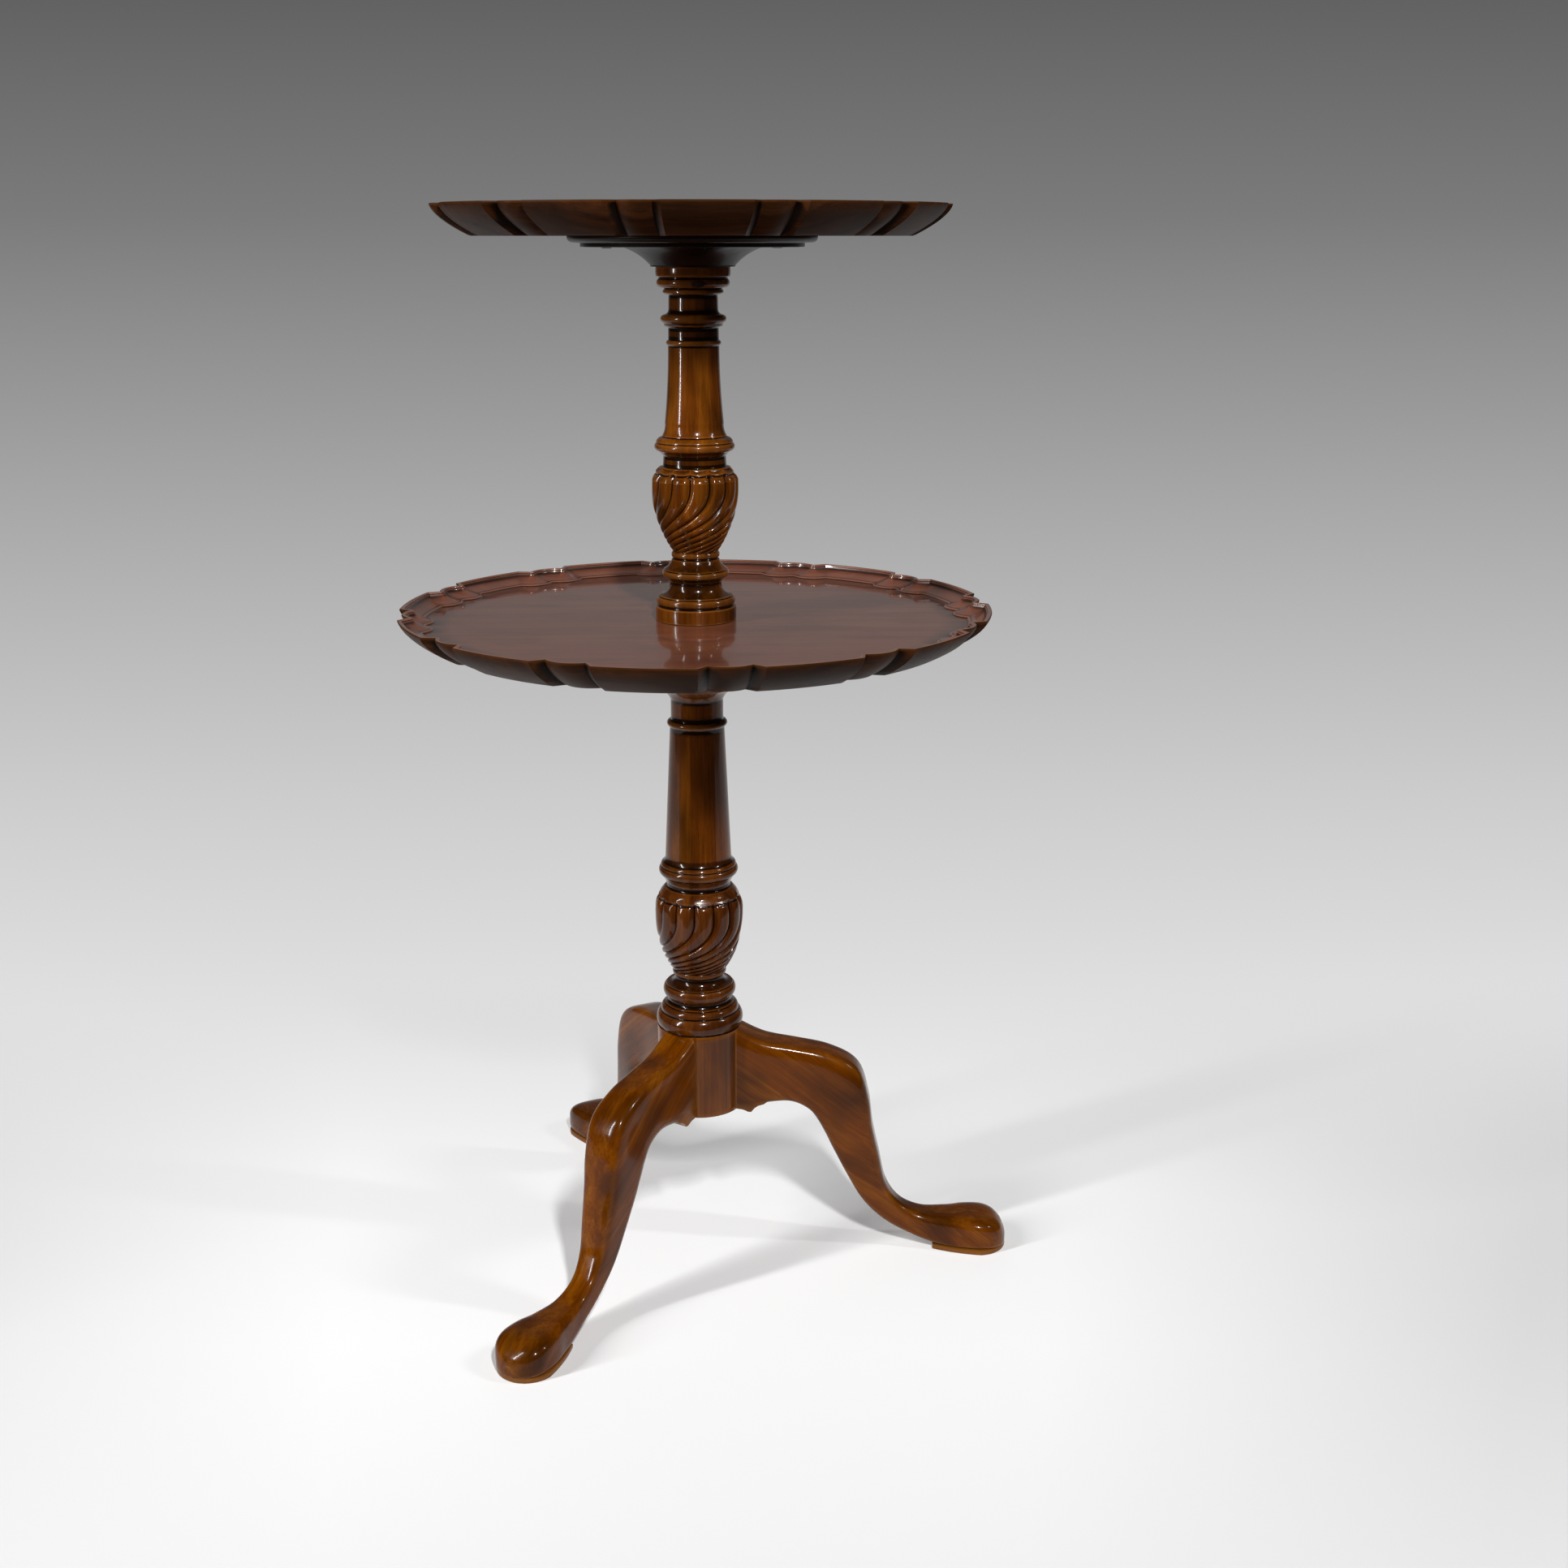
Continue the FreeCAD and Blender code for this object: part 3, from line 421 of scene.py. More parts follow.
LOWER_HEAD = [
    (0.331, 1.000, 0), (0.393, 0.768, 0.10), (0.395, 0.714, 0), (0.403, 0.706, 0),
    (0.405, 0.728, 0), (0.409, 0.736, 0), (0.428, 0.838, -0.04), (0.4295, 0.856, 0),
    (0.450, 0.858, 0.20), (0.4515, 0.838, 0), (0.453, 0.836, 0), (0.454, 0.848, 0),
    (0.464, 0.792, 0.12), (0.481, 0.740, -0.10), (0.835, 0.606, 0),
    (0.8365, 0.640, 0), (0.851, 0.640, 0.25), (0.8525, 0.610, 0), (0.854, 0.582, 0),
    (0.908, 0.582, 0), (0.940, 0.830, -0.08), (0.943, 0.840, 0), (0.966, 0.840, 0.20),
    (0.969, 0.824, 0), (0.972, 0.855, 0), (0.975, 0.870, 0), (1.000, 0.870, 0.04),
]
UPPER_FOOT = [
    (0.000, 0.925, 0), (0.040, 0.925, 0.02), (0.042, 0.878, 0),
    (0.0455, 0.876, 0), (0.0665, 0.872, 0.20), (0.068, 0.848, 0), (0.072, 0.846, 0),
    (0.098, 0.600, -0.18), (0.1115, 0.590, 0), (0.113, 0.618, 0), (0.1255, 0.722, -0.04),
    (0.127, 0.742, 0), (0.1425, 0.748, 0.20), (0.144, 0.722, 0), (0.1455, 0.722, 0),
    (0.1465, 0.738, 0), (0.175, 0.550, -0.10), (0.180, 0.515, 0), (0.198, 0.525, 0.25),
]
UPPER_CREST = [
    (0.00, 0.992), (0.17, 0.993), (0.34, 0.966), (0.50, 0.905), (0.62, 0.838),
    (0.74, 0.757), (0.84, 0.676), (0.92, 0.600), (1.00, 0.515),
]
UPPER_HEAD = [
    (0.405, 0.992, 0), (0.441, 0.812, 0.08), (0.443, 0.726, 0), (0.474, 0.712, 0),
    (0.4765, 0.742, 0), (0.488, 0.856, -0.05), (0.4895, 0.882, 0), (0.508, 0.890, 0.20),
    (0.5095, 0.868, 0), (0.511, 0.868, 0), (0.512, 0.880, 0), (0.526, 0.764, 0.14),
    (0.5275, 0.735, 0), (0.530, 0.732, 0), (0.566, 0.670, -0.08), (0.782, 0.580, -0.013),
    (0.784, 0.600, 0), (0.796, 0.600, 0.22), (0.798, 0.571, 0), (0.832, 0.571, 0),
    (0.836, 0.655, -0.10), (0.844, 0.668, 0), (0.846, 0.690, 0), (0.867, 0.690, 0.32),
    (0.869, 0.640, 0), (0.880, 0.560, -0.15), (0.923, 0.553, 0), (0.925, 0.655, 0),
    (0.938, 0.655, 0.30), (0.940, 0.640, 0), (0.943, 0.762, 0), (0.968, 0.775, 0.27),
    (0.970, 0.772, 0), (0.972, 0.812, 0), (0.974, 0.834, 0), (1.000, 0.834, 0.04),
]
# The row of LOWER_HEAD that the shaft starts at
SHAFT_ROW = 13
URN_STEPS, SHOULDER_STEPS = 10, 22


def column_rows(foot_shares, crest, head_shares, foot, length, radius):
    """Rows of a whole column's outline, and the heights that its urn runs between."""
    rows = [(radius * width, foot + length * share, bulge) for share, width, bulge in foot_shares]
    low, high = rows[-1][1], foot + length * head_shares[0][0]
    for depth, width in smooth_rows(crest[::-1], URN_STEPS)[1:]:
        rows.append((radius * width, high - (high - low) * depth, 0))
    head = [(radius * width, foot + length * share, bulge) for share, width, bulge in head_shares]
    (wide, _, _), (narrow, top, bulge) = head[:2]
    for t in [step / SHOULDER_STEPS for step in range(1, SHOULDER_STEPS + 1)]:
        swell = 4 * bulge * t * (1 - t)
        reach = wide + (narrow - wide) * t + swell * (top - high)
        rows.append((reach, high + (top - high) * t + swell * (wide - narrow), 0))
    return rows + head[2:], low, high


print("lower column:", len(LOWER_FOOT + LOWER_HEAD), "points beside its urn")
print("upper column:", len(UPPER_FOOT + UPPER_HEAD), "points beside its urn")

# %% [markdown]
# ## Carving the writhen urns
# Each urn has lobes that start upright under its shoulder and wind ever faster towards the foot. The
# carver cuts V grooves into the plain turning and finishes the head of every lobe under a small lip that
# sags like a smile. The same is done here: each vertex of the turned urn knows its place within a lobe,
# and it is pressed in by the groove, turned by the twist and lowered by the lip. Modelling one lobe and
# copying it round would leave seams to close, which this avoids.

# %% Carving helper
LOBE_TWIST, TWIST_POWER = 172, 2.7
LOBE_TURN = 21
GROOVE_SHARE, GROOVE_ROUND, GROOVE_SHARP, GROOVE_FADE = 0.23, 0.45, 0.55, 0.6
GROOVE_HEAD, GROOVE_TAIL = 2.5, 1.5
COLUMN_PULL = 0.55
LIP_PROUD, LIP_OVER, LIP_WIDTH = 0.55, 0.7, 0.9
CUT_DEPTH, CUT_UNDER, CUT_WIDTH = 1.0, 0.9, 1.0
LIP_SAG, SAG_SPAN, LIP_REACH = 1.7, 5, 3


def clamp(amount):
    """Keep an amount between 0 and 1."""
    return max(0, min(1, amount))


def hump(distance, width):
    """A smooth hump: 1 where the distance is 0, fading over a width."""
    return math.exp(-(distance / width) ** 2)


def carve_urn(bm, low, high, depth, rise):
    """Press writhen lobes, V grooves and lips into the plain urn of a turned column."""
    pitch, start, lip = 2 * math.pi / LOBES, math.radians(LOBE_TURN), high + rise
    for vert in bm.verts:
        height = vert.co.z / MM
        radius = math.hypot(vert.co.x, vert.co.y) / MM
        if height > lip + LIP_REACH or radius < 0.01:
            continue
        share = clamp((high - height) / (high - low))
        lobe, place = divmod((math.atan2(vert.co.y, vert.co.x) - start) / pitch + 1e-6, 1)
        twist = math.radians(LOBE_TWIST) * share ** TWIST_POWER
        if height >= low:
            # Vertices crowd towards the grooves, where the surface bends most
            place -= COLUMN_PULL * math.sin(2 * math.pi * place) / (2 * math.pi)
            near = abs(2 * place - 1)
            sharp = max(0, 1 - min(place, 1 - place) / GROOVE_SHARE)
            groove = GROOVE_ROUND * near ** 2 + GROOVE_SHARP * sharp
            below, ending = clamp((lip - height) / GROOVE_HEAD), clamp((height - low) / GROOVE_TAIL)
            radius -= depth * (1 - GROOVE_FADE * share) * groove * below * ending
            smile = 1 - near ** 2
            radius += LIP_PROUD * smile * hump(height - lip - LIP_OVER, LIP_WIDTH)
            radius -= CUT_DEPTH * smile * hump(lip - height - CUT_UNDER, CUT_WIDTH)
            height -= LIP_SAG * smile * hump(height - lip, SAG_SPAN)
        angle = start + (lobe + place) * pitch - twist
        vert.co = Vector((radius * math.cos(angle), radius * math.sin(angle), height)) * MM


# %% [markdown]
# ## The lower column
# Its bottom is the block that the legs are dovetailed into, with three flats that the legs stand against.
# The block is turned with the rest and the flats are planed afterwards, so here its vertices are pushed
# back onto each flat's plane. A boolean cut would plane them too, but it leaves slivers in a fine mesh. A
# socket for the tenon of the upper column runs down from the top. The turning between block and shaft has
# the darker wood.

# %% Lower column
BLOCK_HEIGHT, BLOCK_RADIUS, FLAT_DISTANCE = 76, 38, 33
BLOCK_SKIN, SKIN_ROOM = 37.2, 0.01
LOWER_RADIUS, LOWER_GROOVE, LOWER_LIP = 39.3, 3.8, 13.4
SOCKET_RADIUS = 14.05
LEG_ANGLES = {"front_leg": 270, "right_leg": 30, "left_leg": 150}
block_foot = level("lower_column", 0)
block_top = block_foot + BLOCK_HEIGHT
lower_length = level("lower_column", 1) - block_top
tenon_end = level("upper_column", 0)
rows, low, high = column_rows(LOWER_FOOT, LOWER_CREST, LOWER_HEAD, block_top, lower_length, LOWER_RADIUS)
block = [(0, block_foot, 0), (BLOCK_RADIUS, block_foot, 0), (BLOCK_RADIUS, block_top, 0)]
socket = [(SOCKET_RADIUS, rows[-1][1], 0), (SOCKET_RADIUS, tenon_end, 0), (0, tenon_end, 0)]
bm = turn_on_lathe(block + rows + socket)
carve_urn(bm, low, high, LOWER_GROOVE, LOWER_LIP)
for degrees in LEG_ANGLES.values():
    outward = Vector((math.cos(math.radians(degrees)), math.sin(math.radians(degrees)), 0))
    for vert in bm.verts:
        beyond = vert.co.dot(outward) - FLAT_DISTANCE * MM
        on_block = vert.co.z < (block_top + SKIN_ROOM) * MM and vert.co.xy.length > BLOCK_SKIN * MM
        if beyond > 0 and on_block:
            vert.co -= outward * beyond
mark_hollows(bm, passes=2)
mark_grain(bm, along=(0, 0, 1))
dark_top = block_top + lower_length * LOWER_HEAD[SHAFT_ROW][0]
for face in bm.faces:
    face.material_index = int(block_top < face.calc_center_median().z / MM < dark_top)
finish_piece(bm, "lower_pillar", "stand", [pillar_wood, urn_wood], "lower_column")

# %% [markdown]
# ## The upper column
# It is turned and carved in the same way. Its tenon goes down through the lower tray into the lower
# column, and a bore at its top takes the spindle that the upper tray turns on. Both are part of the
# lathe's outline, because pieces joined to it later would leave seams.

# %% Upper column
UPPER_LENGTH, UPPER_RADIUS, UPPER_GROOVE, UPPER_LIP = 298, 37.3, 3.6, 7.6
TENON_RADIUS, SPINDLE_BORE, SPINDLE_ROOM = 14, 11.08, 0.3
upper_foot = level("upper_column", 1) - UPPER_LENGTH
spindle_end = level("top_spindle", 0) - SPINDLE_ROOM
rows, low, high = column_rows(UPPER_FOOT, UPPER_CREST, UPPER_HEAD, upper_foot, UPPER_LENGTH, UPPER_RADIUS)
tenon = [(0, tenon_end, 0), (TENON_RADIUS, tenon_end, 0), (TENON_RADIUS, upper_foot, 0)]
bore = [(SPINDLE_BORE, rows[-1][1], 0), (SPINDLE_BORE, spindle_end, 0), (0, spindle_end, 0)]
bm = turn_on_lathe(tenon + rows + bore)
carve_urn(bm, low, high, UPPER_GROOVE, UPPER_LIP)
mark_hollows(bm, passes=2)
mark_grain(bm, along=(0, 0, 1), start=0.43)
finish_piece(bm, "upper_pillar", "stand", [pillar_wood], "upper_column")

# %% [markdown]
# ## The bearers under the trays
# A turned bearer carries each tray: a narrow foot that turns on the column, a wide cove and a flange that
# is screwed to the tray from below. One could be made and copied, but their bores differ, so a loop turns
# both from the same outline. Their wood is given a nearly black tone.

# %% Bearers
BEARER_RADIUS, BEARER_HEIGHT, BEARER_FOOT, FOOT_STEP = 104, 25, 35.4, 1
BEARER_SHARES = [
    (0.63, 0.846, -0.148), (0.645, 0.896, 0), (0.77, 0.896, 0),
    (0.79, 0.966, 0), (1.00, 1.00, 0.20),
]
# Bore and body
BEARERS = {"upper_boss": (11.05, "upper_tier"), "lower_boss": (14.08, "lower_tier")}
for node, (bore, body) in BEARERS.items():
    foot = level(node, 0)
    rows = [(bore, foot, 0), (BEARER_FOOT, foot, 0), (BEARER_FOOT, foot + FOOT_STEP, 0)]
    for share, width, bulge in BEARER_SHARES:
        rows.append((BEARER_RADIUS * width, foot + BEARER_HEIGHT * share, bulge))
    rows += [(bore, foot + BEARER_HEIGHT, 0), (bore, foot, 0)]
    bm = turn_on_lathe(rows)
    mark_hollows(bm, passes=1)
    mark_grain(bm, along=(0.9, 0.43, 0))
    finish_piece(bm, node.replace("boss", "bearer"), body, [bearer_wood], node)

# %% [markdown]
# ## The piecrust trays
# Each tray is one board, dished by hand to leave a raised rim whose plan repeats a long arc and a short
# bump, with notches between them. Half a repeat is worked out once, from the crown of a bump to the
# middle of a long arc: places on the outline and the inward direction at each, with a fan of directions
# round the notch. Mirrored and turned, it gives all the stations. One circle of vertices then goes
# through the profile, from the underside round the edge and over the lip into the dish: each extrude
# makes the next ring, and each vertex is put at its station. The outer edge is the plan drawn in towards
# the middle, so its arrises stay sharp; the mouldings inside run parallel to it, which rounds them into
# scallops behind every notch, as a carver's gouge does. A profile swept along a curve would cross itself
# at the notches; stations can be stopped where two sides meet.

# %% Plan of the rim
RIM_REPEATS, BUMP_ANGLE, RETURN_ANGLE = 12, 8, 1.8
RIM_NOTCH, BUMP_DROP = 10, 4
BUMP_STEPS, FAN_STEPS, LONG_STEPS = 8, 12, 9


def heading(angle):
    """A flat direction at an angle from the X axis."""
    return Vector((math.cos(angle), math.sin(angle)))


def half_repeat(full):
    """Places and inward directions from a bump's crown, which lies on X, to the middle of a long arc."""
    half, crown = math.radians(BUMP_ANGLE / 2), full - BUMP_DROP
    notch = heading(half) * (full - RIM_NOTCH)
    radius = (notch.y ** 2 + (crown - notch.x) ** 2) / (2 * (crown - notch.x))
    sweep = math.asin(notch.y / radius)
    hub = Vector((crown - radius, 0))
    bump = [heading(sweep * step / BUMP_STEPS) for step in range(BUMP_STEPS + 1)]
    stations = [(hub + outward * radius, -outward) for outward in bump]
    first = half + math.radians(RETURN_ANGLE)
    corner = heading(first) * full
    side = (corner - notch).orthogonal().normalized()
    start, end = math.pi + sweep, math.atan2(side.y, side.x)
    fan = [heading(start + (end - start) * step / FAN_STEPS) for step in range(1, FAN_STEPS + 1)]
    stations += [(notch, inward) for inward in fan]
    mitre = math.tan(side.angle(-corner) / 2)
    for step in range(LONG_STEPS + 1):
        outward = heading(first + (math.pi / RIM_REPEATS - first) * step / LONG_STEPS)
        stations.append((outward * full, outward.orthogonal() * mitre * (1 - step / LONG_STEPS) - outward))
    return stations, notch


def rim_stations(full, turned):
    """Every station of a rim: place, inward direction, side of its bump and turn of the bump."""
    half, notch = half_repeat(full)
    stations = []
    for repeat in range(RIM_REPEATS):
        turn = math.radians(turned + repeat * 360 / RIM_REPEATS)
        stations += [(place, inward, -1, turn) for place, inward in half[:0:-1]]
        stations += [(place, inward, 1, turn) for place, inward in half[:-1]]
    return stations, notch


# %% Rings of the tray
EDGE_DRAW, THICKNESS, DISH_DEPTH, RIM_WIDTH = 32, 26, 11, 21.4
EDGE_POWER, EDGE_FOOT, UNDER_RUNS = 1.65, 0.012, (4, 0.4)
EDGE_HEIGHTS = (0, 0.02, 0.07, 0.14, 0.22, 0.31, 0.41, 0.52, 0.63, 0.74, 0.84, 0.92)
# Inset from the rim and height over the underside
LIP_OUTSIDE = [(0.12, 25.0), (0.25, 25.6), (0.7, 25.93)]
LIP_INSIDE = [(1.3, 26), (2.5, 26), (3.1, 25.85), (3.5, 25.4), (3.65, 24.6), (3.9, 24.4), (4.6, 24.3)]
COVE_POWER, COVE_INSET, COVE_WIDTH, COVE_FOOT, COVE_RISE = 2.1, 4.6, 13.2, 16.6, 7.7
COVE_HEIGHTS = (0.9, 0.78, 0.65, 0.53, 0.41, 0.3, 0.2, 0.12, 0.05, 0)
DISH_STEP = [
    (18.6, 16.6), (19.3, 16.5), (19.8, 16.15), (20.2, 15.5), (20.6, 15.12), (21, 15.02), (RIM_WIDTH, 15),
]


def tray_profile():
    """Rows from under the edge, over the lip and into the dish: kind, inset and height."""
    edge = [(EDGE_DRAW + run, 0) for run in UNDER_RUNS]
    edge += [(EDGE_DRAW * (1 - h) ** EDGE_POWER, THICKNESS * max(h, EDGE_FOOT)) for h in EDGE_HEIGHTS]
    cove = []
    for h in COVE_HEIGHTS:
        cove.append((COVE_INSET + COVE_WIDTH * (1 - h) ** COVE_POWER, COVE_FOOT + COVE_RISE * h))
    rows = [("drawn", inset, height) for inset, height in edge + LIP_OUTSIDE]
    return rows + [("parallel", inset, height) for inset, height in LIP_INSIDE + cove + DISH_STEP]


def next_ring(bm, ring):
    """Extrude a ring of vertices and give the new ring in the same order."""
    edges = [bm.edges.get((ring[index - 1], vert)) for index, vert in enumerate(ring)]
    made = set(bmesh.ops.extrude_edge_only(bm, edges=edges)["geom"])
    fresh = []
    for vert in ring:
        beside = [edge.other_vert(vert) for edge in vert.link_edges]
        fresh.append(next(other for other in beside if other in made))
    return fresh


def put_ring(ring, stations, notch, full, foot, kind, inset, height):
    """Put a ring at an inset: drawn in towards the middle, parallel to the rim, or a plain circle."""
    for vert, (place, inward, side, turn) in zip(ring, stations):
        reach = RIM_WIDTH if kind == "round" else inset
        spot = place * (1 - inset / full) if kind == "drawn" else place + inward * reach
        if kind != "drawn" and reach > notch.y:
            crossing = notch.x - math.sqrt(reach ** 2 - notch.y ** 2)
            if spot.y < 0:
                spot = Vector((crossing, 0))
            elif place.y == 0:
                spot.x = min(spot.x, crossing)
        if kind == "round":
            spot = spot.normalized() * inset
        spot = Vector((spot.x, spot.y * side))
        spot.rotate(Matrix.Rotation(turn, 2))
        vert.co = Vector((spot.x, spot.y, foot + height)) * MM


print(len(tray_profile()), "rings from the underside over the lip to the dish")

# %% Make both trays
# Full radius, turn of the rim in degrees, bore and body
TRAYS = {"lower_tray": (254, 10.5, 14.08, "lower_tier"), "upper_tray": (215, 22.5, 0, "upper_tier")}
FLOOR_EDGE, FLOOR_SHARES, FLOOR_CORE, UNDER_SHARE = 45, (0.6, 0.3), 40, 0.5
UNDER_SLOPE, OUTER_SLOPE = -0.5, 0.25
for node, (full, turned, bore, body) in TRAYS.items():
    foot = level(node, 0)
    stations, notch = rim_stations(full, turned)
    core = bore or FLOOR_CORE
    reaches = [full - FLOOR_EDGE, *[full * share for share in FLOOR_SHARES], core]
    floor = [("round", reach, THICKNESS - DISH_DEPTH) for reach in reaches]
    bm = bmesh.new()
    first = bmesh.ops.create_circle(bm, segments=len(stations), radius=1)["verts"]
    put_ring(first, stations, notch, full, foot, "round", core, 0)
    ring = first
    for kind, inset, height in [("round", full * UNDER_SHARE, 0), *tray_profile(), *floor]:
        ring = next_ring(bm, ring)
        put_ring(ring, stations, notch, full, foot, kind, inset, height)
    if bore:
        pairs = [(loop[place - 1], vert) for loop in (first, ring) for place, vert in enumerate(loop)]
        bmesh.ops.bridge_loops(bm, edges=[bm.edges.get(pair) for pair in pairs])
    else:
        for loop in (first, ring):
            bmesh.ops.contextual_create(bm, geom=loop)
    close_mesh(bm)
    mark_hollows(bm, passes=1)
    mark_grain(bm, along=(0.82, 0.57, 0), start=foot * MM)
    # Undersides and outward faces take the dark edge wood: end grain in part, painted shade in part
    for face in bm.faces:
        outward = face.calc_center_median().xy.normalized()
        faces_out = face.normal.xy.dot(outward) > OUTER_SLOPE
        face.material_index = int(face.normal.z < UNDER_SLOPE or faces_out)
    name = node.replace("_", "_piecrust_")
    finish_piece(bm, name, body, [tray_wood, edge_grain_and_shade_wood], node, crease=32)

# %% [markdown]
# ## The cabriole legs
# Each leg is sawn from a plank, so its sides are flat and its grain runs along it. The maker then rounds
# its top into a soft arris, hollows the ankle and shapes a slipper foot on a thin sole. Here a ring of
# vertices is extruded through sections from the shoulder to the toe. Each section is an oval that goes
# square as its power rises, and the underside next to the block is pulled down into a small beak. A box
# could be sculpted instead, but each section here can be read off the photo and set by itself.

# %% Sections of the leg
# Shares of reach and height, lean in degrees, shares of half depth and half width, squareness
LIMB = [
    (0.111, 0.800, 2, 0.790, 0.984, 6.5), (0.242, 0.792, 6, 0.697, 0.946, 6.0),
    (0.355, 0.759, 20, 0.750, 0.980, 5.4), (0.436, 0.696, 34, 0.816, 1.020, 5.2),
    (0.474, 0.604, 49, 0.684, 1.020, 5.0), (0.500, 0.500, 60, 0.547, 0.960, 4.8),
    (0.543, 0.373, 64, 0.447, 0.840, 4.6), (0.592, 0.250, 58, 0.347, 0.714, 4.4),
    (0.668, 0.160, 47, 0.295, 0.638, 4.2), (0.777, 0.104, 22, 0.303, 0.740, 4.0),
]
# Place along the sole, shares of height and half width, squareness
FOOT = [
    (-0.609, 1.000, 0.540, 3.6), (-0.100, 1.010, 0.680, 3.6), (0.350, 0.990, 0.725, 3.4),
    (0.650, 0.900, 0.655, 3.1), (0.860, 0.720, 0.470, 2.8), (0.955, 0.540, 0.280, 2.5),
    (0.990, 0.420, 0.140, 2.2),
]
LEG_HALF_WIDTH, LEG_HALF_DEPTH, SHOULDER_EASE = 18.5, BLOCK_HEIGHT / 2, 1
SHOULDER_SQUARE, FOOT_UNDER = 7, 7
# Height, lean, half depth, half width, squareness above and below
TOE_TIP = (7.6, 0, 3.0, 2.2, 2.2, 2.2)
FOOT_REACH, HALF_SOLE, FOOT_HEIGHT, FOOT_BASE, SOLE = 244, 34.5, 31.5, 3.6, 4.5
SECTION_POINTS, LEG_STEPS = 48, 9
# Reach and height of the beak's lower edge
BEAK = [(33, 136), (39, 135.2), (43, 133.6), (46, 131.5), (48.5, 135.2), (52, 138.2), (59, 140.5), (70, 150)]
BEAK_DEPTH, BEAK_WIDTH = 0.8, 0.93


def leg_sections():
    """Rows from shoulder to toe: reach, height, lean, half depth, half width, squareness above and below."""
    span = FOOT_REACH - FLAT_DISTANCE
    rows = [(FLAT_DISTANCE, block_top - LEG_HALF_DEPTH, 0, LEG_HALF_DEPTH - SHOULDER_EASE,
             LEG_HALF_WIDTH, SHOULDER_SQUARE, SHOULDER_SQUARE)]
    for reach, height, lean, depth, width, square in LIMB:
        rows.append((FLAT_DISTANCE + span * reach, block_top * height, lean,
                     LEG_HALF_DEPTH * depth, LEG_HALF_WIDTH * width, square, square))
    for place, height, width, square in FOOT:
        half = (FOOT_HEIGHT * height - FOOT_BASE) / 2
        rows.append((FOOT_REACH + HALF_SOLE * place, FOOT_BASE + half, 0,
                     half, HALF_SOLE * width, square, FOOT_UNDER))
    return smooth_rows(rows, LEG_STEPS) + [(FOOT_REACH + HALF_SOLE, *TOE_TIP)]


def beak_line(reach):
    """Height of the beak's lower edge at a reach from the axis."""
    for (start, low), (end, high) in zip(BEAK, BEAK[1:]):
        if start <= reach <= end:
            return low + (high - low) * (reach - start) / (end - start)
    return math.inf


def put_section(ring, reach, height, lean, half_depth, half_width, square, under):
    """Lay a ring of vertices as a squared oval that leans with the leg."""
    lean = math.radians(lean)
    for index, vert in enumerate(ring):
        turn = 2 * math.pi * (index + 0.5) / len(ring)
        power = 2 / (square if math.sin(turn) > 0 else under)
        across = math.copysign(abs(math.cos(turn)) ** power, math.cos(turn)) * half_width
        deep = math.copysign(abs(math.sin(turn)) ** power, math.sin(turn)) * half_depth
        spot = Vector((reach + math.sin(lean) * deep, across, height + math.cos(lean) * deep))
        if deep < -BEAK_DEPTH * half_depth and abs(across) < BEAK_WIDTH * half_width:
            spot.z = min(spot.z, beak_line(spot.x))
        vert.co = spot * MM


print(len(leg_sections()), "sections from shoulder to toe")

# %% Make the legs
def turn_round_pillar(bm, degrees):
    """Turn a piece from the X axis to its own place round the pillar."""
    turn = Matrix.Rotation(math.radians(degrees), 3, "Z")
    bmesh.ops.rotate(bm, verts=bm.verts, cent=(0, 0, 0), matrix=turn)


for count, (node, degrees) in enumerate(LEG_ANGLES.items()):
    bm = bmesh.new()
    sections = leg_sections()
    ring = bmesh.ops.create_circle(bm, segments=SECTION_POINTS, radius=1, cap_ends=True)["verts"]
    put_section(ring, *sections[0])
    for section in sections[1:]:
        ring = next_ring(bm, ring)
        put_section(ring, *section)
    bmesh.ops.contextual_create(bm, geom=ring)
    close_mesh(bm)
    mark_hollows(bm, passes=1)
    mark_grain(bm, along=(0.80, 0, -0.60), start=0.31 * count)
    turn_round_pillar(bm, degrees)
    finish_piece(bm, node.replace("leg", "cabriole"), "stand", [leg_wood], node)

# %% [markdown]
# ## The soles
# A thin sole shows under each foot as a fine line, straight at the heel and round at the toe. Its plan is
# a wire with bowed sides, filled and extruded, and its edges are eased with a bevel. Cut into the foot it
# would only be a groove; as a piece of its own it keeps a clean edge and a step of its own.

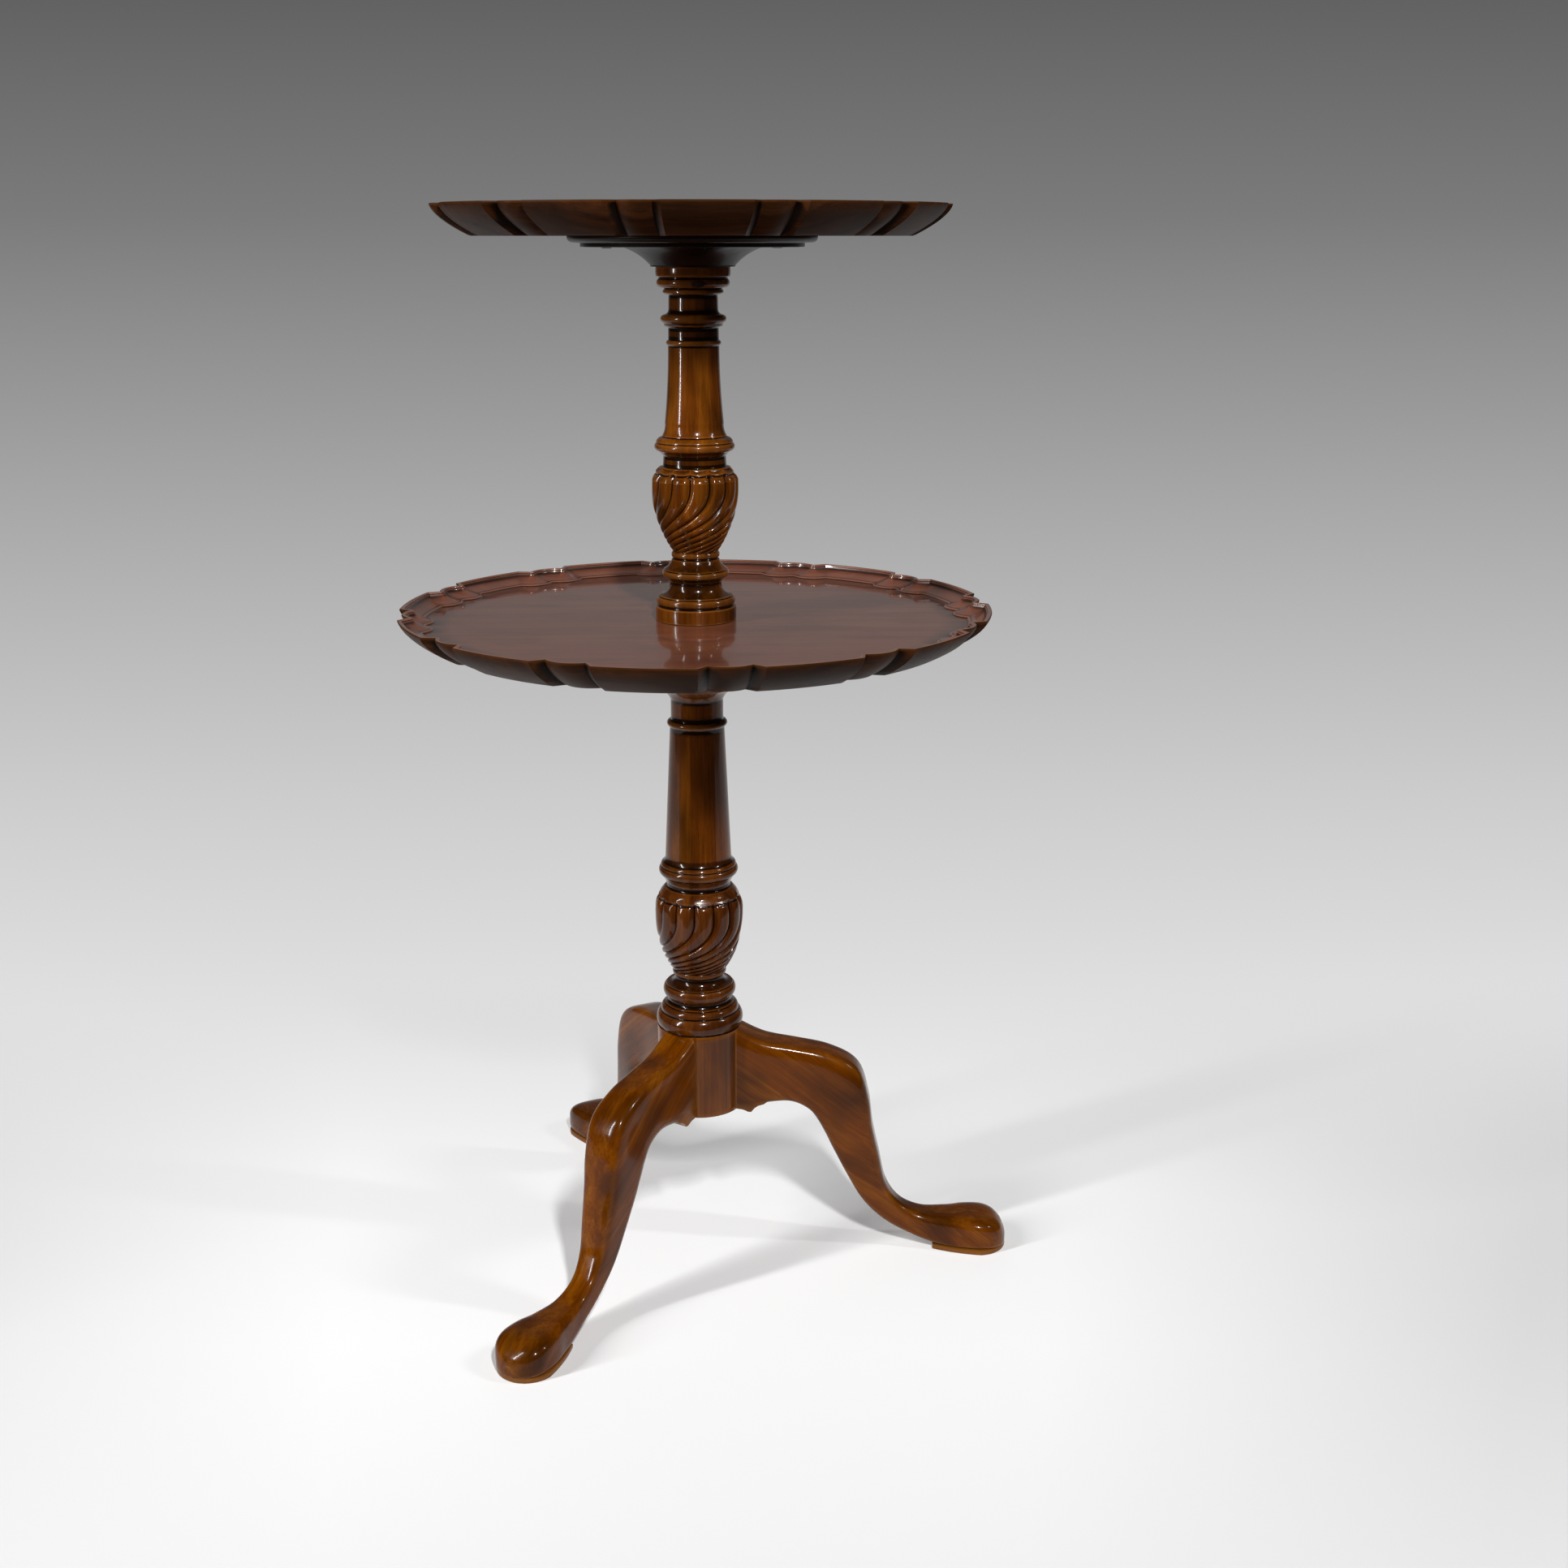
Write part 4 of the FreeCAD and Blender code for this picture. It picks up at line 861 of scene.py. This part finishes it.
# %% Soles
# Places along and across, as shares of half the sole, and bulge of the side that arrives there
SOLE_PLAN = [(-0.93, -0.42, 0), (0.35, -0.745, 0.04), (0.35, 0.745, 0.436), (-0.93, 0.42, 0.04)]
SOLE_EASE = 0.9
for count, (node, degrees) in enumerate(LEG_ANGLES.items()):
    bm = bmesh.new()
    plan = []
    for along, side, _ in SOLE_PLAN:
        plan.append(bm.verts.new(((FOOT_REACH + HALF_SOLE * along) * MM, HALF_SOLE * side * MM, 0)))
    sides = [bm.edges.new((plan[index - 1], plan[index])) for index in range(len(plan))]
    for side, (_, _, bulge) in zip(sides, SOLE_PLAN):
        bow(bm, side, bulge, Vector((0, 0, 1)))
    bottom = bmesh.ops.contextual_create(bm, geom=bm.edges[:])["faces"]
    raised = bmesh.ops.extrude_face_region(bm, geom=bottom, use_keep_orig=True)["geom"]
    bmesh.ops.translate(bm, verts=points_of(raised), vec=(0, 0, SOLE * MM))
    close_mesh(bm)
    rims = [edge for edge in bm.edges if abs(edge.verts[0].co.z - edge.verts[1].co.z) < 1e-6]
    bmesh.ops.bevel(bm, geom=rims, affect="EDGES", offset=SOLE_EASE * MM, offset_type="OFFSET",
                    segments=2, profile=0.5, material=-1)
    close_mesh(bm)
    mark_hollows(bm, passes=0)
    mark_grain(bm, along=(1, 0, 0), start=0.2 * count)
    turn_round_pillar(bm, degrees)
    finish_piece(bm, node.replace("leg", "sole"), "stand", [leg_wood])

# %% [markdown]
# ## The peg
# A dark oval peg through the top bead of the upper column holds the spindle. It is a scaled circle,
# extruded along its length, with the edge of its end eased. A stretched cylinder would do too, but its
# end would stay sharp.

# %% Peg
PEG_ANGLE, PEG_OUT, PEG_IN = 312, 31, 8.3
PEG_HALF_WIDTH, PEG_HALF_HEIGHT, PEG_SIDES = 6, 3, 40
# Distance from the end, and size as a share of the ring before
PEG_END = ((0.6, 1), (0.2, 0.95), (0, 0.84))
peg_level = (level("retaining_peg", 0) + level("retaining_peg", 1)) / 2
bm = bmesh.new()
ring = bmesh.ops.create_circle(bm, segments=PEG_SIDES, radius=1, cap_ends=True)["verts"]
for vert in ring:
    vert.co = Vector((PEG_IN, vert.co.x * PEG_HALF_WIDTH, vert.co.y * PEG_HALF_HEIGHT)) * MM
for inset, share in PEG_END:
    outer = next_ring(bm, ring)
    for vert, before in zip(outer, ring):
        vert.co = before.co.copy()
        vert.co.x = (PEG_OUT - inset) * MM
    bmesh.ops.scale(bm, verts=outer, vec=(1, share, share))
    ring = outer
bmesh.ops.contextual_create(bm, geom=ring)
turn_round_pillar(bm, PEG_ANGLE)
bmesh.ops.translate(bm, verts=bm.verts, vec=(0, 0, peg_level * MM))
close_mesh(bm)
finish_piece(bm, "oval_peg", "stand", [pin_wood], "retaining_peg")

# %% [markdown]
# ## Pieces that stay as they are
# The spindle and the screws are plain turned shapes that the CAD model already gives. They could be
# turned again here, but they are hardly seen, so they keep their mesh and only get a finish.

# %% Finishes for the CAD pieces
FINISHES = {"top_spindle": pin_wood, "upper_boss_screws": screw_steel, "lower_boss_screws": screw_steel}
for node, material in FINISHES.items():
    mesh = frame["nodes"][node].data
    mesh.materials.clear()
    mesh.materials.append(material)
    print(node, "gets", material.name)

# %% [markdown]
# ## The paper sweep
# The photo's ground looks like a sheet of white paper that curves up into a grey wall. A strip of the
# floor, a quarter bend and the wall are drawn as one wire and extruded sideways, square to the camera. A
# plane with a bend modifier would do too, but the wire shows its three runs plainly.

# %% Paper sweep
CAMERA_TURN = 31.922
SWEEP_BACK, SWEEP_BEND, SWEEP_TOP, SWEEP_FRONT, SWEEP_HALF = 2.2, 1.2, 4.5, 0.62, 2.3
BEND_STEPS = 24
bm = bmesh.new()
wire = [bm.verts.new((-SWEEP_HALF, -SWEEP_FRONT, 0)), bm.verts.new((-SWEEP_HALF, SWEEP_BACK, 0))]
bm.edges.new(wire)
arc = bmesh.ops.spin(bm, geom=[wire[1]], axis=(1, 0, 0), cent=(-SWEEP_HALF, SWEEP_BACK, SWEEP_BEND),
                     angle=math.pi / 2, steps=BEND_STEPS)["geom_last"]
top = bmesh.ops.extrude_vert_indiv(bm, verts=points_of(arc))["verts"]
bmesh.ops.translate(bm, verts=top, vec=(0, 0, SWEEP_TOP - SWEEP_BEND))
side = bmesh.ops.extrude_edge_only(bm, edges=bm.edges[:])["geom"]
bmesh.ops.translate(bm, verts=points_of(side), vec=(2 * SWEEP_HALF, 0, 0))
turn_round_pillar(bm, CAMERA_TURN)
bmesh.ops.recalc_face_normals(bm, faces=bm.faces)
mesh = bpy.data.meshes.new("paper_sweep")
bm.to_mesh(mesh)
bm.free()
mesh.shade_smooth()
sweep = bpy.data.objects.new("paper_sweep", mesh)
bpy.context.scene.collection.objects.link(sweep)
print("sweep", len(mesh.polygons), "faces")

# %% [markdown]
# ## Paper that fades to grey
# Near the table the sheet is white paper, which keeps the shadows. Its tone carries painted shade: darker
# close to the lens, where the lamps light it most, and slightly greyer to its sides. Farther back it fades
# into the greys of the photo, which only the camera and reflections see, so the backdrop throws no more
# light on the table than paper would. Lamps alone could grey the wall too, but they would also change the
# light on the wood. The greys follow the slope of the line from the lens to the sheet, so they run evenly
# over floor, bend and wall.

# %% Where the lens sees the paper
LENS_BACK, LENS_HEIGHT = 1.6846, 0.9059
right = Vector((math.cos(math.radians(CAMERA_TURN)), math.sin(math.radians(CAMERA_TURN)), 0))
ahead = Vector((-right.y, right.x, 0))
# Matt white paper: it has no highlight, only shadows and a soft change of tone that is painted shade
paper, tree = new_material("paper_matt_white_to_grey")
place = add(tree, "ShaderNodeTexCoord").outputs["Object"]
height = add(tree, "ShaderNodeSeparateXYZ", links={0: place}).outputs["Z"]
along = add(tree, "ShaderNodeVectorMath", {1: ahead}, {0: place}, operation="DOT_PRODUCT").outputs["Value"]
depth = add(tree, "ShaderNodeMath", {1: LENS_BACK - AXIS.dot(ahead)}, {0: along}, operation="ADD").outputs[0]
drop = add(tree, "ShaderNodeMath", {0: LENS_HEIGHT}, {1: height}, operation="SUBTRACT").outputs[0]
slope = add(tree, "ShaderNodeMath", links={0: drop, 1: depth}, operation="DIVIDE").outputs[0]
across = add(tree, "ShaderNodeVectorMath", {1: right}, {0: place}, operation="DOT_PRODUCT").outputs["Value"]
off_axis = add(tree, "ShaderNodeMath", {1: AXIS.dot(right)}, {0: across}, operation="SUBTRACT").outputs[0]
aside = add(tree, "ShaderNodeMath", links={0: off_axis}, operation="ABSOLUTE").outputs[0]
spread = add(tree, "ShaderNodeMath", links={0: aside, 1: depth}, operation="DIVIDE").outputs[0]
print("lens", LENS_BACK, "m from the axis and", LENS_HEIGHT, "m high")

# %% White paper near the table
NEAR_START, NEAR_END = 1.2, 1.8
SIDE_START, SIDE_END = 0.20, 0.46
# Painted shade: darker close to the lens, where the lamps light it most, lighter farther back
near = add(tree, "ShaderNodeMapRange", {"From Min": NEAR_START, "From Max": NEAR_END},
           {"Value": depth}).outputs[0]
white = add(tree, "ShaderNodeValToRGB", links={"Fac": near},
            stops=[(0.0, "#e4e4e4"), (0.5, "#f6f6f6"), (1.0, "#fefefe")]).outputs["Color"]
# Painted shade: greyer towards the sides
to_side = add(tree, "ShaderNodeMapRange", {"From Min": SIDE_START, "From Max": SIDE_END},
              {"Value": spread}).outputs[0]
white = add(tree, "ShaderNodeMix", {7: linear("#dedede")}, {0: to_side, 6: white},
            data_type="RGBA").outputs[2]
matt = add(tree, "ShaderNodeBsdfPrincipled", {"Roughness": 0.9, "Specular IOR Level": 0.1},
           {"Base Color": white}).outputs[0]
print("paper brightens from", NEAR_START, "to", NEAR_END, "m before the lens")

# %% Grey paper farther back
SLOPE_TOP, SLOPE_FOOT = -0.11, 0.61
FADE_START, FADE_END = 1.5, 2.4
GREYS = [(0.0, "#626262"), (0.14, "#7b7b7b"), (0.27, "#999999"),
         (0.55, "#cccccc"), (0.86, "#f1f1f1"), (1.0, "#f7f7f7")]
fall = add(tree, "ShaderNodeMapRange", {"From Min": SLOPE_TOP, "From Max": SLOPE_FOOT},
           {"Value": slope}).outputs[0]
shade = add(tree, "ShaderNodeValToRGB", links={"Fac": fall}, stops=GREYS).outputs["Color"]
glow = add(tree, "ShaderNodeEmission", links={"Color": shade}).outputs[0]
far = add(tree, "ShaderNodeMapRange", {"From Min": FADE_START, "From Max": FADE_END}, {"Value": depth},
          interpolation_type="SMOOTHSTEP").outputs[0]
ray = add(tree, "ShaderNodeLightPath").outputs
seen = ray["Is Camera Ray"]
for kind in ("Is Glossy Ray", "Is Transmission Ray"):
    seen = add(tree, "ShaderNodeMath", links={0: seen, 1: ray[kind]}, operation="MAXIMUM").outputs[0]
share = add(tree, "ShaderNodeMath", links={0: seen, 1: far}, operation="MULTIPLY").outputs[0]
both = add(tree, "ShaderNodeMixShader", links={0: share, 1: matt, 2: glow}).outputs[0]
add(tree, "ShaderNodeOutputMaterial", links={"Surface": both})
mesh.materials.append(paper)
print("paper fades to grey from", FADE_START, "to", FADE_END, "m before the lens")

# %% [markdown]
# ## Light
# The shafts show three upright highlights, and a mirror on a cylinder turns by half the lamp's angle: so
# one tall softbox stands far round on the left, one far round on the right, and a small one just beside
# the camera. Their narrow shapes keep the highlights thin and the shadows of the feet clear. A weak even
# world light fills the rest. One large lamp would light the wood as brightly, but it would spread those
# lines into a haze.

# %% Softboxes
AIM = AXIS + Vector((0, 0, 0.5))
WORLD_FILL = 0.03


def softbox(name, sideways, forward, height, width, tall, watts):
    """A soft rectangular lamp that faces the table."""
    lamp = bpy.data.lights.new(name, "AREA")
    lamp.shape, lamp.size, lamp.size_y, lamp.energy = "RECTANGLE", width, tall, watts
    holder = bpy.data.objects.new(name, lamp)
    holder.location = AXIS + right * sideways + ahead * forward + Vector((0, 0, height))
    holder.rotation_euler = (AIM - holder.location).to_track_quat("-Z", "Y").to_euler()
    bpy.context.scene.collection.objects.link(holder)
    print(name, watts, "W")


softbox("left_softbox", sideways=-2.2, forward=-1.35, height=1.55, width=0.14, tall=1.9, watts=64)
softbox("right_softbox", sideways=2.25, forward=-0.48, height=2.1, width=0.08, tall=0.6, watts=14)
softbox("front_softbox", sideways=0.58, forward=-2.33, height=2.3, width=0.12, tall=0.35, watts=76)
world = bpy.data.worlds.new("studio_air")
world.use_nodes = True
world.node_tree.nodes["Background"].inputs["Color"].default_value = linear("#ffffff")
world.node_tree.nodes["Background"].inputs["Strength"].default_value = WORLD_FILL
bpy.context.scene.world = world

# %% [markdown]
# ## Camera
# The place and lens were worked out from the photo: the ellipses of the trays give the height, and the
# trays' sizes against the feet give the distance. A camera could be set by eye instead, but then no
# length could be compared with the photo.

# %% Camera
SENSOR_WIDTH, FOCAL_LENGTH, LENS_SHIFT = 36, 45.61, -0.0802
CAMERA_PLACE, CAMERA_TILT = Vector((0.9551, -1.3897, LENS_HEIGHT)), 77.974
lens = bpy.data.cameras.new("photo_camera")
lens.sensor_width, lens.lens = SENSOR_WIDTH, FOCAL_LENGTH
lens.shift_y = LENS_SHIFT
camera = bpy.data.objects.new("photo_camera", lens)
camera.location = AXIS + CAMERA_PLACE
camera.rotation_euler = (math.radians(CAMERA_TILT), 0, math.radians(CAMERA_TURN))
bpy.context.scene.collection.objects.link(camera)
bpy.context.scene.camera = camera
bpy.context.scene.view_settings.view_transform = "Standard"
print("camera at", [round(x, 3) for x in camera.location])

# %% Finish
bpy.context.view_layer.update()
